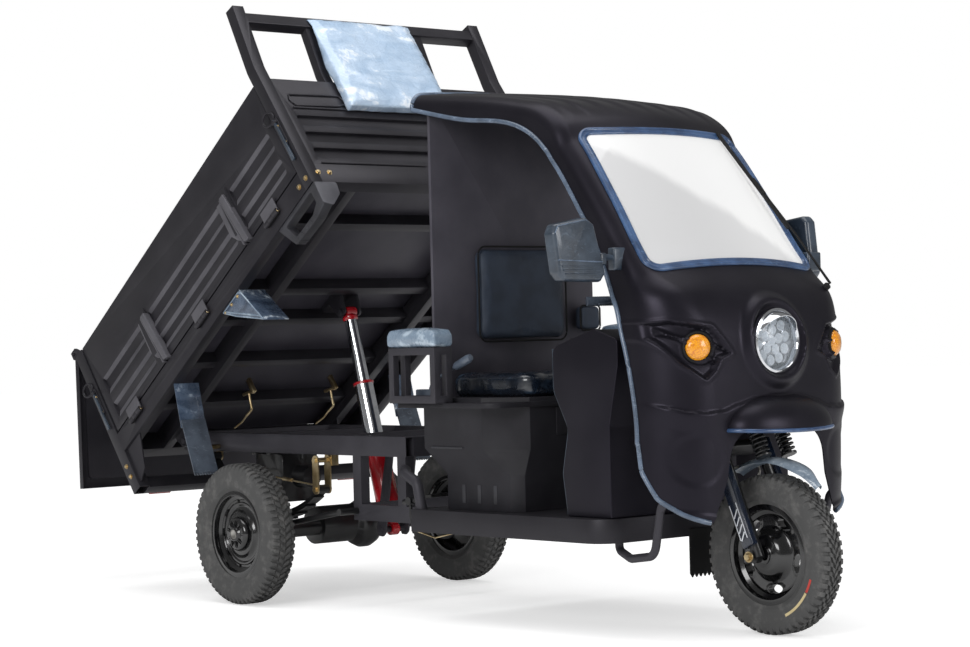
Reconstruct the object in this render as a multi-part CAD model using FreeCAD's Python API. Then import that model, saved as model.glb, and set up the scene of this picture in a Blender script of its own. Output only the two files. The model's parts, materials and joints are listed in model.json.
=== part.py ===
import FreeCAD, Part
import math
import os

# A three-wheeled cargo rickshaw: a half-open cab over one steered front wheel, and a tipping
# bed over two rear wheels. Sizes are in millimetres. While a piece is made, x is its station
# forward of the rear axle, y is to the left and z is up from the ground. Pieces of the bed are
# made in the bed's own frame: x along the bed from its rear end, z up from the sill's underside.
# The last step moves everything so that the origin is under the middle of the whole vehicle,
# which is a little to the right of its centre line, because one mirror is folded back.

# Wheels
wheelbase = 2255.0
track = 1076.0
rear_tyre_diameter = 541.0
rear_tyre_width = 110.0
front_tyre_diameter = 528.0
front_tyre_width = 100.0
rim_diameter = 304.0
rim_width = 82.0
rim_gauge = 4.0
rim_lip = 13.0
rim_well = 14.0
drum_radius = 104.0
hub_cap_radius = 62.0
axle_shaft_radius = 15.0
running_gap = 0.3
seat_gap = 0.3
moving_gap = 6.0

# Chassis
rail_outer = 376.0
rail_width = 40.0
rail_top = 644.0
rail_depth = 73.0
rail_rear = -642.0
rail_front = 800.0
tube_wall = 3.0
post_width = 48.0
rear_post_station = 482.0
front_post_station = 796.0
lower_rail_depth = 60.0
lower_rail_top = 391.0
cross_member_width = 40.0
hitch_hole_radius = 5.5
hitch_hole_spacing = 120.0

# Bed tipping
bed_tilt = 37.37
pivot_station = -622.5
pivot_height = 610.0
pivot_along = 159.0
bed_floor_clearance = 6.0
pivot_pin_radius = 12.0
pivot_lug_radius = 26.0
pivot_lug_thickness = 12.0

# Bed
bed_length = 1712.0
bed_width = 1220.0
bed_side_height = 520.0
sill_height = 88.0
sill_width = 50.0
floor_gauge = 3.0
floor_top = 86.0
post_tube = 50.0
rail_lap = 2.0
rear_post_drop = 178.0
rear_post_depth = 55.0
gate_thickness = 30.0
gate_gap = 6.0
gate_trough = 13.0
sheet = 2.5
gate_hinge_height = 50.0
gate_hinge_radius = 11.0
gate_hinge_length = 96.0
gate_hinge_stations = (230.0, 846.0, 1446.0)
gate_rib_stations = (505.0, 1246.0)
headboard_height = 518.0
rack_top = 850.0
rack_bend_start = 575.0
rack_lean = 46.0
rack_bar_height = 798.0
rack_middle_half = 268.0
rack_upright_tube = 38.0
bed_rail_outer = 420.0
bed_rail_width = 40.0
bed_rail_depth = 80.0
bed_cross_stations = (300.0, 570.0, 840.0, 1030.0, 1420.0, 1670.0)
bed_cross_width = 40.0
bed_cross_depth = 50.0
tailgate_hinge_along = -14.0
tailgate_hinge_height = 548.0
tailgate_thickness = 26.0
tailgate_half = 585.0
tailgate_bottom = -14.0

# Hoist
hoist_foot_station = 240.0
hoist_foot_height = 260.0
hoist_eye_along = 954.0
hoist_eye_height = -12.0
hoist_barrel_length = 333.0
hoist_barrel_radius = 46.0
hoist_stage_radii = (37.0, 26.0)
hoist_pin_radius = 12.0
hoist_cheek_gap = 7.0
hoist_cheek_thickness = 8.0

# Cab
cab_gauge = 5.0
cab_floor_rear = 950.0
cab_floor_front = 1950.0
cab_floor_half = 480.0
brace_half = cab_floor_half - 32
brace_top = (952.0, 486.0)
brace_foot = (977.0, 376.0)
cab_floor_top = 395.0
cab_floor_depth = 80.0
cab_floor_corner = 90.0
cab_floor_gauge = 4.0
cab_wall_station = 987.0
cab_wall_gauge = 13.0
cab_wall_half = 390.0
cab_wall_bottom = 780.0
seat_base_front = 1440.0
seat_base_half = 450.0
seat_base_top = 790.0
seat_ledge_top = 775.0
seat_ledge_half = 520.0
armrest_tube = 26.0
armrest_outer = 560.0
armrest_inner = 480.0
armrest_rear = 945.0
armrest_front = 1200.0
armrest_top = 970.0
leg_shield_front = 1935.0
leg_shield_half = 430.0
leg_shield_top = 1020.0

# Fairing
arch_half = 214.0
arch_top = 680.0
arch_radius = 110.0
lamp_station = 2250.0
lamp_height = 966.0
lamp_radius = 109.0
signal_half = 322.0
signal_height = 951.0
signal_radius = 55.0
beak_base = 2268.0
beak_reach = 134.0
beak_half = 232.0
guard_inner = 482.0
guard_outer = 598.0
mirror_station = 2002.0
mirror_reach = 768.0

# Springs
spring_half = 400.0
spring_width = 50.0
spring_leaf = 7.0
spring_rear_station = -395.0
spring_rear_height = 553.5
spring_front_station = 320.0
spring_front_height = 442.0

# Steering
steer_rake = 23.5
steer_axis_station = 2100.0
steer_axis_height = 557.0
fork_leg_half = 92.0
fork_leg_offset = 38.0
fork_leg_radius = 19.0
head_tube_low = 150.0
head_tube_high = 320.0
head_tube_radius = 27.0
stem_radius = 17.0
down_tube_width = 50.0
down_tube_depth = 36.0
fender_gap = 44.0
fender_half = 46.0


def vec(x, y, z):
    return FreeCAD.Vector(x, y, z)


def block(x, y, z):
    return Part.makeBox(x[1] - x[0], y[1] - y[0], z[1] - z[0], vec(x[0], y[0], z[0]))


def rod(start, end, radius):
    run = end - start
    return Part.makeCylinder(radius, run.Length, start, run)


def mirrored(shape):
    return shape.mirror(vec(0, 0, 0), vec(0, 1, 0))


def joined(shapes):
    # One tidy solid, or several where the shapes don't touch
    shapes = list(shapes)
    if len(shapes) == 1:
        return shapes[0]
    whole = shapes[0].multiFuse(shapes[1:]).removeSplitter()
    return whole.Solids[0] if len(whole.Solids) == 1 else whole


def both_sides(shape):
    return Part.makeCompound([shape, mirrored(shape)])


def path_edges(points, radius, closed):
    # Straight runs between the points, joined by tangent arcs. radius is one value or one a point.
    count = len(points)
    radii = radius if isinstance(radius, (list, tuple)) else [radius] * count
    turns = []
    for i, point in enumerate(points):
        last = not closed and i in (0, count - 1)
        if last or radii[i] <= 0:
            turns.append((point, None, point))
            continue
        back = (points[i - 1] - point).normalize()
        ahead = (points[(i + 1) % count] - point).normalize()
        half = back.getAngle(ahead) / 2
        run = radii[i] / math.tan(half)
        middle = (back + ahead).normalize()
        inside = point + middle * (radii[i] / math.sin(half) - radii[i])
        turns.append((point + back * run, inside, point + ahead * run))
    edges = []
    for i, (enter, inside, leave) in enumerate(turns):
        if inside is not None:
            edges.append(Part.Arc(enter, inside, leave).toShape())
        if closed or i < count - 1:
            target = turns[(i + 1) % count][0]
            if (target - leave).Length > 1e-4:
                edges.append(Part.makeLine(leave, target))
    return edges


def plate(outline, plane, low, high, radius=0.0):
    # An outline drawn in a plane, with rounded corners, given a thickness from low to high
    place = {
        "xz": lambda a, b: vec(a, low, b),
        "xy": lambda a, b: vec(a, b, low),
        "yz": lambda a, b: vec(low, a, b),
    }[plane]
    push = {"xz": vec(0, high - low, 0), "xy": vec(0, 0, high - low), "yz": vec(high - low, 0, 0)}[plane]
    wire = Part.Wire(path_edges([place(a, b) for a, b in outline], radius, True))
    return Part.Face(wire).extrude(push)


def bent_tube(points, bend, radius):
    # A round tube along straight runs and tangent bends
    path = Part.Wire(path_edges(points, bend, False))
    ring = Part.Wire(Part.Circle(points[0], points[1] - points[0], radius).toShape())
    return path.makePipeShell([ring], True, True)


def square_tube(points, bend, width, depth, across):
    # A square tube with open ends along a bent path. across is the direction of the tube's width.
    run = (points[1] - points[0]).normalize()
    up = run.cross(across).normalize()
    path = Part.Wire(path_edges(points, bend, False))

    def sweep(inset):
        corners = [points[0] + across * (a * (width / 2 - inset)) + up * (b * (depth / 2 - inset))
                   for a, b in ((-1, -1), (1, -1), (1, 1), (-1, 1))]
        return path.makePipeShell([Part.makePolygon(corners + [corners[0]])], True, True)
    return sweep(0).cut(sweep(tube_wall))


def box_tube(x, y, z, along):
    # A straight square tube with open ends
    sizes = [x, y, z]
    inner = [(s[0] + tube_wall, s[1] - tube_wall) for s in sizes]
    axis = "xyz".index(along)
    inner[axis] = (sizes[axis][0] - 1, sizes[axis][1] + 1)
    return block(x, y, z).cut(block(*inner))


def turned(profile, station, height, y_zero=0.0, side=1):
    # A solid of revolution about a cross axle. The profile gives (distance outwards, radius).
    points = [vec(station, y_zero + side * a, height + r) for a, r in profile]
    wire = Part.makePolygon(points + [points[0]])
    return Part.Face(wire).revolve(vec(station, 0, height), vec(0, 1, 0), 360)


def raised(shape):
    # From the bed's own frame to its raised place on the chassis
    placed = shape.copy()
    placed.translate(vec(-pivot_along, 0, bed_floor_clearance + rail_top - pivot_height))
    placed.rotate(vec(0, 0, 0), vec(0, 1, 0), -bed_tilt)
    placed.translate(vec(pivot_station, 0, pivot_height))
    return placed


def raised_point(along, y, height):
    turn = math.radians(bed_tilt)
    a = along - pivot_along
    h = height + bed_floor_clearance + rail_top - pivot_height
    x = pivot_station + a * math.cos(turn) - h * math.sin(turn)
    z = pivot_height + a * math.sin(turn) + h * math.cos(turn)
    return vec(x, y, z)


pivot_drop = bed_floor_clearance + rail_top - pivot_height
rail_inner = rail_outer - rail_width
down_tube_foot = cab_floor_front - cross_member_width / 2 - cab_floor_gauge
spring_rear = vec(spring_rear_station, 0, spring_rear_height)
spring_front = vec(spring_front_station, 0, spring_front_height)
spring_low = rear_tyre_diameter / 2 + 40 + 5 * spring_leaf + 2
cab_wall_front = cab_wall_station + cab_wall_gauge
seat_base_rear = cab_wall_front + seat_gap
rail_bottom = rail_top - rail_depth
bed_half = bed_width / 2
hoist_foot = vec(hoist_foot_station, 0, hoist_foot_height)
hoist_eye = raised_point(hoist_eye_along, 0, hoist_eye_height)
hoist_axis = (hoist_eye - hoist_foot).normalize()
hoist_raised_length = (hoist_eye - hoist_foot).Length
lowered_eye = vec(pivot_station + hoist_eye_along - pivot_along, 0,
                  pivot_height + hoist_eye_height + pivot_drop)
hoist_lowered_length = (lowered_eye - hoist_foot).Length
hoist_stroke = (hoist_raised_length - hoist_lowered_length) / 2


def steer_point(along, forward=0.0, y=0.0):
    # A point given by its distance up the steering axis and forward of it
    rake = math.radians(steer_rake)
    x = steer_axis_station - along * math.sin(rake) + forward * math.cos(rake)
    z = steer_axis_height + along * math.cos(rake) + forward * math.sin(rake)
    return vec(x, y, z)


# The chassis

def chassis_frame():
    pieces = []
    for side in (-1, 1):
        across = sorted((side * rail_outer, side * rail_inner))
        pieces.append(box_tube((rail_rear, rail_front), across, (rail_bottom, rail_top), "x"))
        pieces.append(box_tube((rear_post_station, cab_floor_front - cab_floor_gauge), across,
                               (lower_rail_top - lower_rail_depth, lower_rail_top), "x"))
        for station in (rear_post_station, front_post_station - post_width):
            pieces.append(box_tube((station, station + post_width), across, (lower_rail_top, rail_bottom),
                                   "z"))
        pin_ends = sorted((side * rail_inner, side * (rail_outer + pivot_lug_thickness + 2 * moving_gap)))
        pieces.append(rod(vec(pivot_station, pin_ends[0], pivot_height),
                          vec(pivot_station, pin_ends[1], pivot_height), pivot_pin_radius))
    inside = (-rail_inner, rail_inner)
    cross_stations = (rail_rear, -190.0, hoist_foot_station + 50, rail_front - cross_member_width)
    for station in cross_stations:
        pieces.append(box_tube((station, station + cross_member_width), inside, (rail_bottom, rail_top), "y"))
    for station in (rear_post_station, cab_floor_front - cross_member_width - cab_floor_gauge):
        pieces.append(box_tube((station, station + cross_member_width), inside,
                               (lower_rail_top - lower_rail_depth, lower_rail_top), "y"))
    frame = joined(pieces)
    for side in (-1, 1):
        hole = rod(vec(rail_rear - 1, side * hitch_hole_spacing / 2, (rail_top + rail_bottom) / 2),
                   vec(rail_rear + cross_member_width + 1, side * hitch_hole_spacing / 2,
                       (rail_top + rail_bottom) / 2), hitch_hole_radius)
        frame = frame.cut(hole)
    return joined([frame, hoist_cradle(), head_tube(), cab_braces()])


def hoist_cradle():
    # Two cheeks that carry the hoist's foot pin under the cross member
    inner = hoist_barrel_radius + hoist_cheek_gap
    cross = hoist_foot_station + 50
    outline = [(cross, rail_bottom + 25), (cross + cross_member_width, rail_bottom + 25),
               (hoist_foot_station + 26, hoist_foot_height - 12),
               (hoist_foot_station + 10, hoist_foot_height - 26),
               (hoist_foot_station - 14, hoist_foot_height - 24),
               (hoist_foot_station - 26, hoist_foot_height + 6)]
    cheek = plate(outline, "xz", inner, inner + hoist_cheek_thickness, 6)
    reach = inner + hoist_cheek_thickness + 4
    pin = rod(vec(hoist_foot_station, -reach, hoist_foot_height),
              vec(hoist_foot_station, reach, hoist_foot_height), hoist_pin_radius)
    return joined([cheek, mirrored(cheek), pin])


def head_tube():
    # The steering head and the square down tube that carries it from the floor frame
    bore = stem_radius + running_gap
    low = steer_point(head_tube_low)
    high = steer_point(head_tube_high)
    middle = steer_point((head_tube_low + head_tube_high) / 2)
    down = square_tube([vec(down_tube_foot, 0, lower_rail_top - 30),
                        vec(down_tube_foot, 0, lower_rail_top + 90),
                        middle], 40, down_tube_width, down_tube_depth, vec(0, 1, 0))
    outer = joined([rod(low, high, head_tube_radius), down])
    return outer.cut(rod(steer_point(head_tube_low - 60), steer_point(head_tube_high + 60), bore))


def brace_end():
    return [vec(brace_top[0], brace_half, brace_top[1]), vec(brace_foot[0], brace_half, brace_foot[1])]


def cab_braces():
    # Bent stays: from the rear of the floor to the rails, and from its front to the fairing
    rear = bent_tube([vec(front_post_station - 24, rail_outer - 20, 524), vec(880, brace_half, 520),
                      *brace_end()],
                     [0, 40, 34, 0], 20)
    front = bent_tube([vec(1890, 356, 340), vec(1890, 356, 286), vec(1960, 370, 262), vec(2100, 400, 280),
                       vec(2140, 408, 430), vec(2190, 430, 480)], [0, 24, 30, 50, 30, 0], 14)
    front = front.cut(cab_form(-60).cut(cab_form(cab_gauge + seat_gap, 200)))
    front = max(front.Solids, key=lambda solid: solid.Volume)
    return joined([rear, mirrored(rear), front, mirrored(front)])


def cab_floor():
    # An upturned pan: a flat tread with a deep skirt
    half = cab_floor_half
    outline = [(cab_floor_rear, -half), (cab_floor_front, -half), (cab_floor_front, half),
               (cab_floor_rear, half)]
    gauge = cab_floor_gauge
    inner = [(cab_floor_rear - 1, -half + gauge), (cab_floor_front - gauge, -half + gauge),
             (cab_floor_front - gauge, half - gauge), (cab_floor_rear - 1, half - gauge)]
    radii = [0, cab_floor_corner, cab_floor_corner, 0]
    inner_radii = [0, cab_floor_corner - gauge, cab_floor_corner - gauge, 0]
    pan = plate(outline, "xy", cab_floor_top - cab_floor_depth, cab_floor_top, radii)
    pan = pan.cut(plate(inner, "xy", cab_floor_top - cab_floor_depth - 1, lower_rail_top, inner_radii))
    top, foot = brace_end()
    stay = rod(top, foot + (foot - top) * 0.2, 21)
    return pan.cut(both_sides(stay)).cut(down_tube_slot(lower_rail_top - 1, cab_floor_top + 1))


def down_tube_slot(low, high):
    # Clear of the straight foot of the steering head's down tube
    across = down_tube_width / 2 + seat_gap
    along = down_tube_depth / 2 + seat_gap
    return block((down_tube_foot - along, down_tube_foot + along), (-across, across), (low, high))


# The cab's skin. Each station gives the outer point on the centre line, the way inwards, the
# depth from there to the edge of the side opening, the half width, the corner radius and the
# angle at which the crowned middle meets the corner.
cab_stations = (
    (942.0, 1891.0, -90.0, 69.0, 420.0, 48.0, 4.0),
    (1210.0, 1865.0, -88.0, 100.0, 424.0, 52.0, 4.0),
    (1478.0, 1831.0, -84.0, 106.0, 426.0, 56.0, 5.0),
    (1635.0, 1798.0, -100.0, 134.0, 428.0, 60.0, 6.0),
    (1738.0, 1752.0, -120.0, 150.0, 430.0, 60.0, 12.0),
    (1806.0, 1683.0, -138.0, 150.0, 430.0, 60.0, 17.0),
    (1960.0, 1476.0, -142.5, 150.0, 432.0, 60.0, 15.0),
    (2142.0, 1222.0, -153.0, 192.0, 438.0, 80.0, 12.5),
    (2236.0, 1125.0, -170.0, 255.0, 445.0, 140.0, 9.0),
    (2281.0, 1010.0, -178.0, 286.0, 448.0, 190.0, 8.0),
    (2293.0, 850.0, -180.0, 262.0, 450.0, 200.0, 8.0),
    (2293.0, 660.0, -180.0, 240.0, 450.0, 200.0, 8.0),
    (2290.0, 520.0, -180.0, 240.0, 448.0, 200.0, 8.0),
    (2284.0, 372.0, -180.0, 240.0, 440.0, 200.0, 8.0),
)


def cab_section(station, inset, extra):
    x, z, direction, depth, half, corner, crown = station
    inward = vec(math.cos(math.radians(direction)), 0, math.sin(math.radians(direction)))
    lean = math.radians(crown)
    crown_radius = (half - corner + corner * math.sin(lean)) / math.sin(lean)
    corner_depth = crown_radius * (1 - math.cos(lean)) + corner * math.cos(lean)
    side = half - inset
    bend = corner - inset

    def at(y, t):
        return vec(x, y, z) + inward * t

    def corner_at(angle):
        return half - corner + bend * math.cos(angle), corner_depth - bend * math.sin(angle)

    end_angle = math.pi / 2 - lean
    middle_y, middle_t = corner_at(end_angle / 2)
    end_y, end_t = corner_at(end_angle)
    end = depth + extra
    return Part.Wire([
        Part.makeLine(at(side, end), at(side, corner_depth)),
        Part.Arc(at(side, corner_depth), at(middle_y, middle_t), at(end_y, end_t)).toShape(),
        Part.Arc(at(end_y, end_t), at(0, inset), at(-end_y, end_t)).toShape(),
        Part.Arc(at(-end_y, end_t), at(-middle_y, middle_t), at(-side, corner_depth)).toShape(),
        Part.makeLine(at(-side, corner_depth), at(-side, end)),
        Part.makeLine(at(-side, end), at(side, end)),
    ])


def cab_form(inset, extra=0.0, stations=cab_stations):
    # The cab's outer form, drawn in by an inset, with its open side pushed inwards by extra
    return Part.makeLoft([cab_section(s, inset, extra) for s in stations], True, True)


windscreen_slope = math.atan2(cab_stations[5][1] - cab_stations[7][1],
                              cab_stations[5][0] - cab_stations[7][0])


def windscreen_prism(margin, radius):
    # The windscreen's outline, grown by a margin, pushed through the skin along its normal
    foot = vec(cab_stations[7][0], 0, cab_stations[7][1])
    up = vec(math.cos(windscreen_slope), 0, math.sin(windscreen_slope))
    normal = vec(up.z, 0, -up.x)
    corners = [(-386 - margin, -2 - margin), (386 + margin, -2 - margin),
               (362 + margin, 592 + margin), (-362 - margin, 592 + margin)]
    points = [foot + up * b + vec(0, a, 0) - normal * 90 for a, b in corners]
    return Part.Face(Part.Wire(path_edges(points, radius, True))).extrude(normal * 160)


def cab_shell():
    skin = cab_form(0).cut(cab_form(cab_gauge, 60))
    ends = [block((900, 942.5), (-500, 500), (1700, 2000)), block((2000, 2400), (-500, 500), (300, 372.5))]
    skin = skin.cut(joined(ends))
    skin = skin.cut(windscreen_prism(-12, 46))
    arch = plate([(-arch_half, 300), (arch_half, 300), (arch_half, arch_top), (-arch_half, arch_top)],
                 "yz", 2150, 2400, [0, 0, arch_radius, arch_radius])
    # The sides end on a curve that runs forward to the tip of each cheek
    sweep = plate([(1900, 640), (2070, 640), (2092, 545), (2150, 462), (2262, 384), (2420, 372), (2420, 300),
                   (1900, 300)], "xz", -500, 500, [0, 0, 60, 60, 40, 0, 0, 0])
    lamp_hole = rod(vec(2100, 0, lamp_height), vec(2400, 0, lamp_height), lamp_radius - 8 + seat_gap)
    skin = skin.cut(joined([arch, sweep, lamp_hole]))
    for side in (-1, 1):
        skin = skin.cut(signal_bore(side, signal_radius - 12 + seat_gap))
    return joined([skin, nose_visor()])


def signal_frame(side):
    # The turn signals look forwards and a little outwards
    turn = math.radians(24)
    centre = vec(2232, side * signal_half, signal_height)
    return centre, vec(math.cos(turn), side * math.sin(turn), 0)


def signal_bore(side, radius):
    centre, axis = signal_frame(side)
    return rod(centre - axis * 60, centre + axis * 60, radius)


def nose_visor():
    # The beak over the front wheel: a half oval in plan, falling towards its tip, open below
    base, reach, half = beak_base, beak_reach, beak_half

    def oval(inset, low, high):
        ellipse = Part.Ellipse(vec(base, 0, low), half - inset, reach - inset)
        edge = Part.Edge(ellipse.toShape())
        edge.rotate(vec(base, 0, low), vec(0, 0, 1), 90)
        return Part.Face(Part.Wire([edge])).extrude(vec(0, 0, high - low))

    beak = oval(0, 676, 790)
    slope = plate([(base - 200, 800), (base + 6, 784), (base + 84, 750), (base + reach + 2, 698),
                   (base + reach + 60, 800)], "xz", -300, 300, 0)
    hollow = oval(5, 670, 790).cut(plate([(base - 200, 794), (base + 2, 778), (base + 80, 744),
                                          (base + reach, 692), (base + reach + 60, 794)], "xz", -300, 300, 0))
    beak = beak.cut(slope).cut(hollow)
    return beak.cut(cab_form(cab_gauge / 2, 200, cab_stations[8:]))


def cab_rear_wall():
    # A panel whose edge follows the inside of the roof, with flanges down its sides
    front = cab_wall_front
    half = cab_wall_half
    panel = block((front - 3, front), (-half, half), (cab_wall_bottom, 1950))
    flanges = [block((cab_wall_station, front), sorted((side * half, side * (half - 28))),
                     (cab_wall_bottom, 1950)) for side in (-1, 1)]
    wall = joined([panel] + flanges)
    return wall.common(cab_form(cab_gauge + seat_gap, 1300, cab_stations[:3]))


def windshield():
    glass = cab_form(1.0, 100).cut(cab_form(cab_gauge, 200))
    return glass.common(windscreen_prism(-13, 45)).common(block((1600, 2300), (-420, 420), (1100, 1800)))


def windshield_gasket():
    # A raised rubber rim on the skin round the glass
    band = cab_form(-7.0, 0).cut(cab_form(-seat_gap, 200))
    ring = windscreen_prism(0, 56).cut(windscreen_prism(-26, 34))
    return band.common(ring).common(block((1600, 2300), (-425, 425), (1100, 1800)))


def wiper():
    # Parked up the screen's left edge, with its spindle through the skin below the corner
    foot = vec(2142, 398, 1172)
    outward = vec(0.62, 0.45, 0.64).normalize()
    start = foot + outward * 14
    tip = vec(1796, 352, 1672) + outward * 10
    arm = bent_tube([start - outward * 6, start + outward * 6, tip], [0, 5, 0], 5)
    spindle = rod(foot - outward * 40, start, 12)
    return joined([arm, spindle]).cut(cab_form(-seat_gap, 60))


def seated_on_skin(lamp, bore):
    # Outside its bore, a lamp stops just clear of the skin
    return lamp.cut(cab_form(-seat_gap, 60).cut(bore))


def headlamp():
    # A bowl let into the fairing, with a bezel and a domed lens
    centre = vec(lamp_station, 0, lamp_height)
    profile = [(-70, 0), (-70, 60), (-20, lamp_radius - 8), (24, lamp_radius - 8), (24, lamp_radius),
               (44, lamp_radius - 6), (48, lamp_radius - 20), (60, 60), (64, 0)]
    points = [centre + vec(a, 0, r) for a, r in profile]
    wire = Part.makePolygon(points + [points[0]])
    lamp = Part.Face(wire).revolve(centre, vec(1, 0, 0), 360)
    bore = rod(vec(2100, 0, lamp_height), vec(2400, 0, lamp_height), lamp_radius - 8)
    return seated_on_skin(lamp, bore)


def turn_signals():
    bodies = []
    for side in (-1, 1):
        centre, axis = signal_frame(side)
        profile = [(-40, 0), (-40, signal_radius - 20), (0, signal_radius - 12), (18, signal_radius - 12),
                   (18, signal_radius), (26, signal_radius - 2), (38, signal_radius - 20), (44, 0)]
        up = vec(0, 0, 1)
        points = [centre + axis * a + up * r for a, r in profile]
        wire = Part.makePolygon(points + [points[0]])
        lamp = Part.Face(wire).revolve(centre, axis, 360)
        bodies.append(seated_on_skin(lamp, signal_bore(side, signal_radius - 12)))
    return Part.makeCompound(bodies)


def mirrors():
    # The right mirror stands out sideways; the left one is folded back along the pillar
    tip = mirror_reach
    outline = [(544, 1196), (566, 1168), (tip - 42, 1172), (tip - 20, 1196), (tip, 1322), (tip - 16, 1352),
               (624, 1374), (590, 1352)]
    housing = plate([(-y, z) for y, z in outline], "yz", 2004, 2062, 16)
    clamp = block((mirror_station - 16, mirror_station + 16), (-470, -400), (1207, 1281))
    arm = rod(vec(mirror_station, -462, 1247), vec(mirror_station + 26, -570, 1240), 11)
    right = joined([housing, arm, clamp]).cut(cab_form(-seat_gap, 200))
    folded = plate([(1846, 1196), (1866, 1172), (2010, 1172), (2030, 1196), (2010, 1376), (1990, 1396),
                    (1886, 1384),
                    (1860, 1356)], "xz", 470, 524, 16)
    clamp_left = block((mirror_station + 44, mirror_station + 76), (400, 470), (1200, 1266))
    arm_left = rod(vec(mirror_station + 60, 462, 1232), vec(mirror_station + 14, 496, 1232), 11)
    left = joined([folded, arm_left, clamp_left]).cut(cab_form(-seat_gap, 200))
    return Part.makeCompound([max(one.Solids, key=lambda solid: solid.Volume) for one in (right, left)])


def seat_base():
    # The moulding under the seat: hollow, open below, wider above its waist, under a flat ledge
    def plan(rear, half, corner, corner_half, inset, z):
        front = seat_base_front - inset
        points = [(rear + inset, -half + inset), (corner, -half + inset), (front, -corner_half),
                  (front, corner_half),
                  (corner, half - inset), (rear + inset, half - inset)]
        return Part.makePolygon([vec(x, y, z) for x, y in points + [points[0]]])

    def moulding(inset, floor, roof):
        upper = (seat_base_rear, seat_base_half, 1316, 336, inset)
        lower = (1066, 402, 1404, 366, inset)
        levels = [plan(*lower, floor), plan(*lower, 520), plan(*upper, 612), plan(*upper, roof)]
        return joined([Part.makeLoft(list(pair), True, True) for pair in zip(levels, levels[1:])])
    wall = 5.0
    body = moulding(0, cab_floor_top, seat_base_top)
    ledge_low = seat_ledge_top - 18
    ledge = plate([(seat_base_rear, -seat_ledge_half), (seat_base_front + 8, -seat_ledge_half),
                   (seat_base_front + 8, seat_ledge_half), (seat_base_rear, seat_ledge_half)], "xy",
                  ledge_low, seat_ledge_top, [0, 60, 60, 0])
    wings = [block((armrest_rear - 5, seat_base_rear + 1),
                   sorted((side * (cab_wall_half + 8), side * seat_ledge_half)),
                   (ledge_low, seat_ledge_top)) for side in (-1, 1)]
    return joined([body, ledge] + wings).cut(moulding(wall, cab_floor_top - 1, seat_base_top - wall))


def battery():
    return block((1080, 1400), (-300, 300), (cab_floor_top, 620))


def seat_cushion():
    outline = [(1004, -356), (1452, -356), (1452, 356), (1004, 356)]
    return plate(outline, "xy", seat_base_top + seat_gap, seat_base_top + 82, 60)


def backrest():
    front = cab_wall_front + seat_gap
    pad = plate([(-216, 982), (216, 982), (216, 1332), (-216, 1332)], "yz", front, front + 55, 34)
    bolster = plate([(282, 1016), (386, 1016), (386, 1112), (282, 1112)], "yz", front, front + 55, 16)
    return Part.makeCompound([pad, bolster])


def armrest_frames():
    # A square tube frame stands on the ledge at each end of the seat
    tube = armrest_tube
    outer, inner, low, high = armrest_outer, armrest_inner, seat_ledge_top, armrest_top
    rear, front = armrest_rear, armrest_front
    pieces = []
    for y in (outer - tube, inner):
        for z in (low, high - tube):
            pieces.append(block((rear, front), (y, y + tube), (z, z + tube)))
        for x in (rear, front - tube):
            pieces.append(block((x, x + tube), (y, y + tube), (low, high)))
    for z in (low, high - tube):
        for x in (rear, front - tube):
            pieces.append(block((x, x + tube), (inner, outer), (z, z + tube)))
    return both_sides(joined(pieces))


def armrest_pads():
    pad = block((armrest_rear - 8, armrest_front + 8), (armrest_inner - 8, armrest_outer + 8),
                (armrest_top + seat_gap, armrest_top + 66))
    edges = [e for e in pad.Edges if abs(e.Vertexes[0].Z - e.Vertexes[1].Z) > 1 or
             min(v.Z for v in e.Vertexes) > armrest_top + 60]
    return both_sides(pad.makeFillet(16, edges))


def leg_shield():
    # Knee boxes at both sides, joined by a front panel round a central footwell
    floor, front, top = cab_floor_top, leg_shield_front, leg_shield_top
    half = leg_shield_half
    wall = 5.0
    side_view = [(1723, floor), (front, floor), (front, 700), (front + 46, 900), (front + 46, top - 38),
                 (1869, top + 2), (1663, top - 58), (1665, 811), (1734, 688), (1702, 540)]
    radii = [0, 0, 80, 60, 20, 60, 26, 60, 90, 60]
    inset = [(1723 + wall, floor - 1), (front - wall, floor - 1), (front - wall, 700), (front + 41, 900),
             (front + 41, top - 42), (1868, top - 4), (1668, top - 62), (1670, 813), (1739, 690), (1707, 540)]
    body = plate(side_view, "xz", -half, half, radii)
    inner = plate(inset, "xz", -half + wall, half - wall, [0, 0, 80, 60, 16, 55, 21, 64, 86, 64])

    def footwell(grow):
        return plate([(1600, floor - 1), (front - 34 + grow, floor - 1), (front - 34 + grow, 860),
                      (1820, 900 + grow), (1600, 900 + grow)], "xz", -160 - grow, 160 + grow,
                      [0, 0, 40, 40, 0])

    def column(grow):
        return rod(steer_point(200), steer_point(620), head_tube_radius + 40 + grow)
    inner = inner.cut(footwell(wall)).cut(column(wall))
    shell = body.cut(inner).cut(footwell(0)).cut(column(0)).cut(down_tube_slot(floor - 1, 600))
    return shell.Solids[0] if len(shell.Solids) == 1 else shell


def rear_axle():
    # A live axle: tubes, a round gear case with its motor, and a backing plate at each wheel
    height = rear_tyre_diameter / 2
    centre = vec(0, 30, height)
    inner = track / 2 - rim_width / 2 - 30
    tube = rod(vec(0, -inner, height), vec(0, inner, height), 32)
    case_profile = [(-62, 0), (-62, 46), (-40, 82), (-14, 94), (14, 94), (40, 82), (62, 46), (62, 0)]
    case = turned(case_profile, 0, height, centre.y)
    motor = rod(vec(-20, 0, height + 6), vec(-20, -190, height + 6), 74)
    pieces = [tube, case, motor]
    for side in (-1, 1):
        pieces.append(rod(vec(0, side * (inner - 8), height), vec(0, side * inner, height), drum_radius - 8))
        pieces.append(rod(vec(0, side * (inner - 1), height), vec(0, side * (track / 2 + 18), height),
                          axle_shaft_radius))
        pad = block((-45, 45), sorted((side * 370, side * 430)), (height, height + 40))
        pieces.append(pad)
    return joined(pieces)


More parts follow.
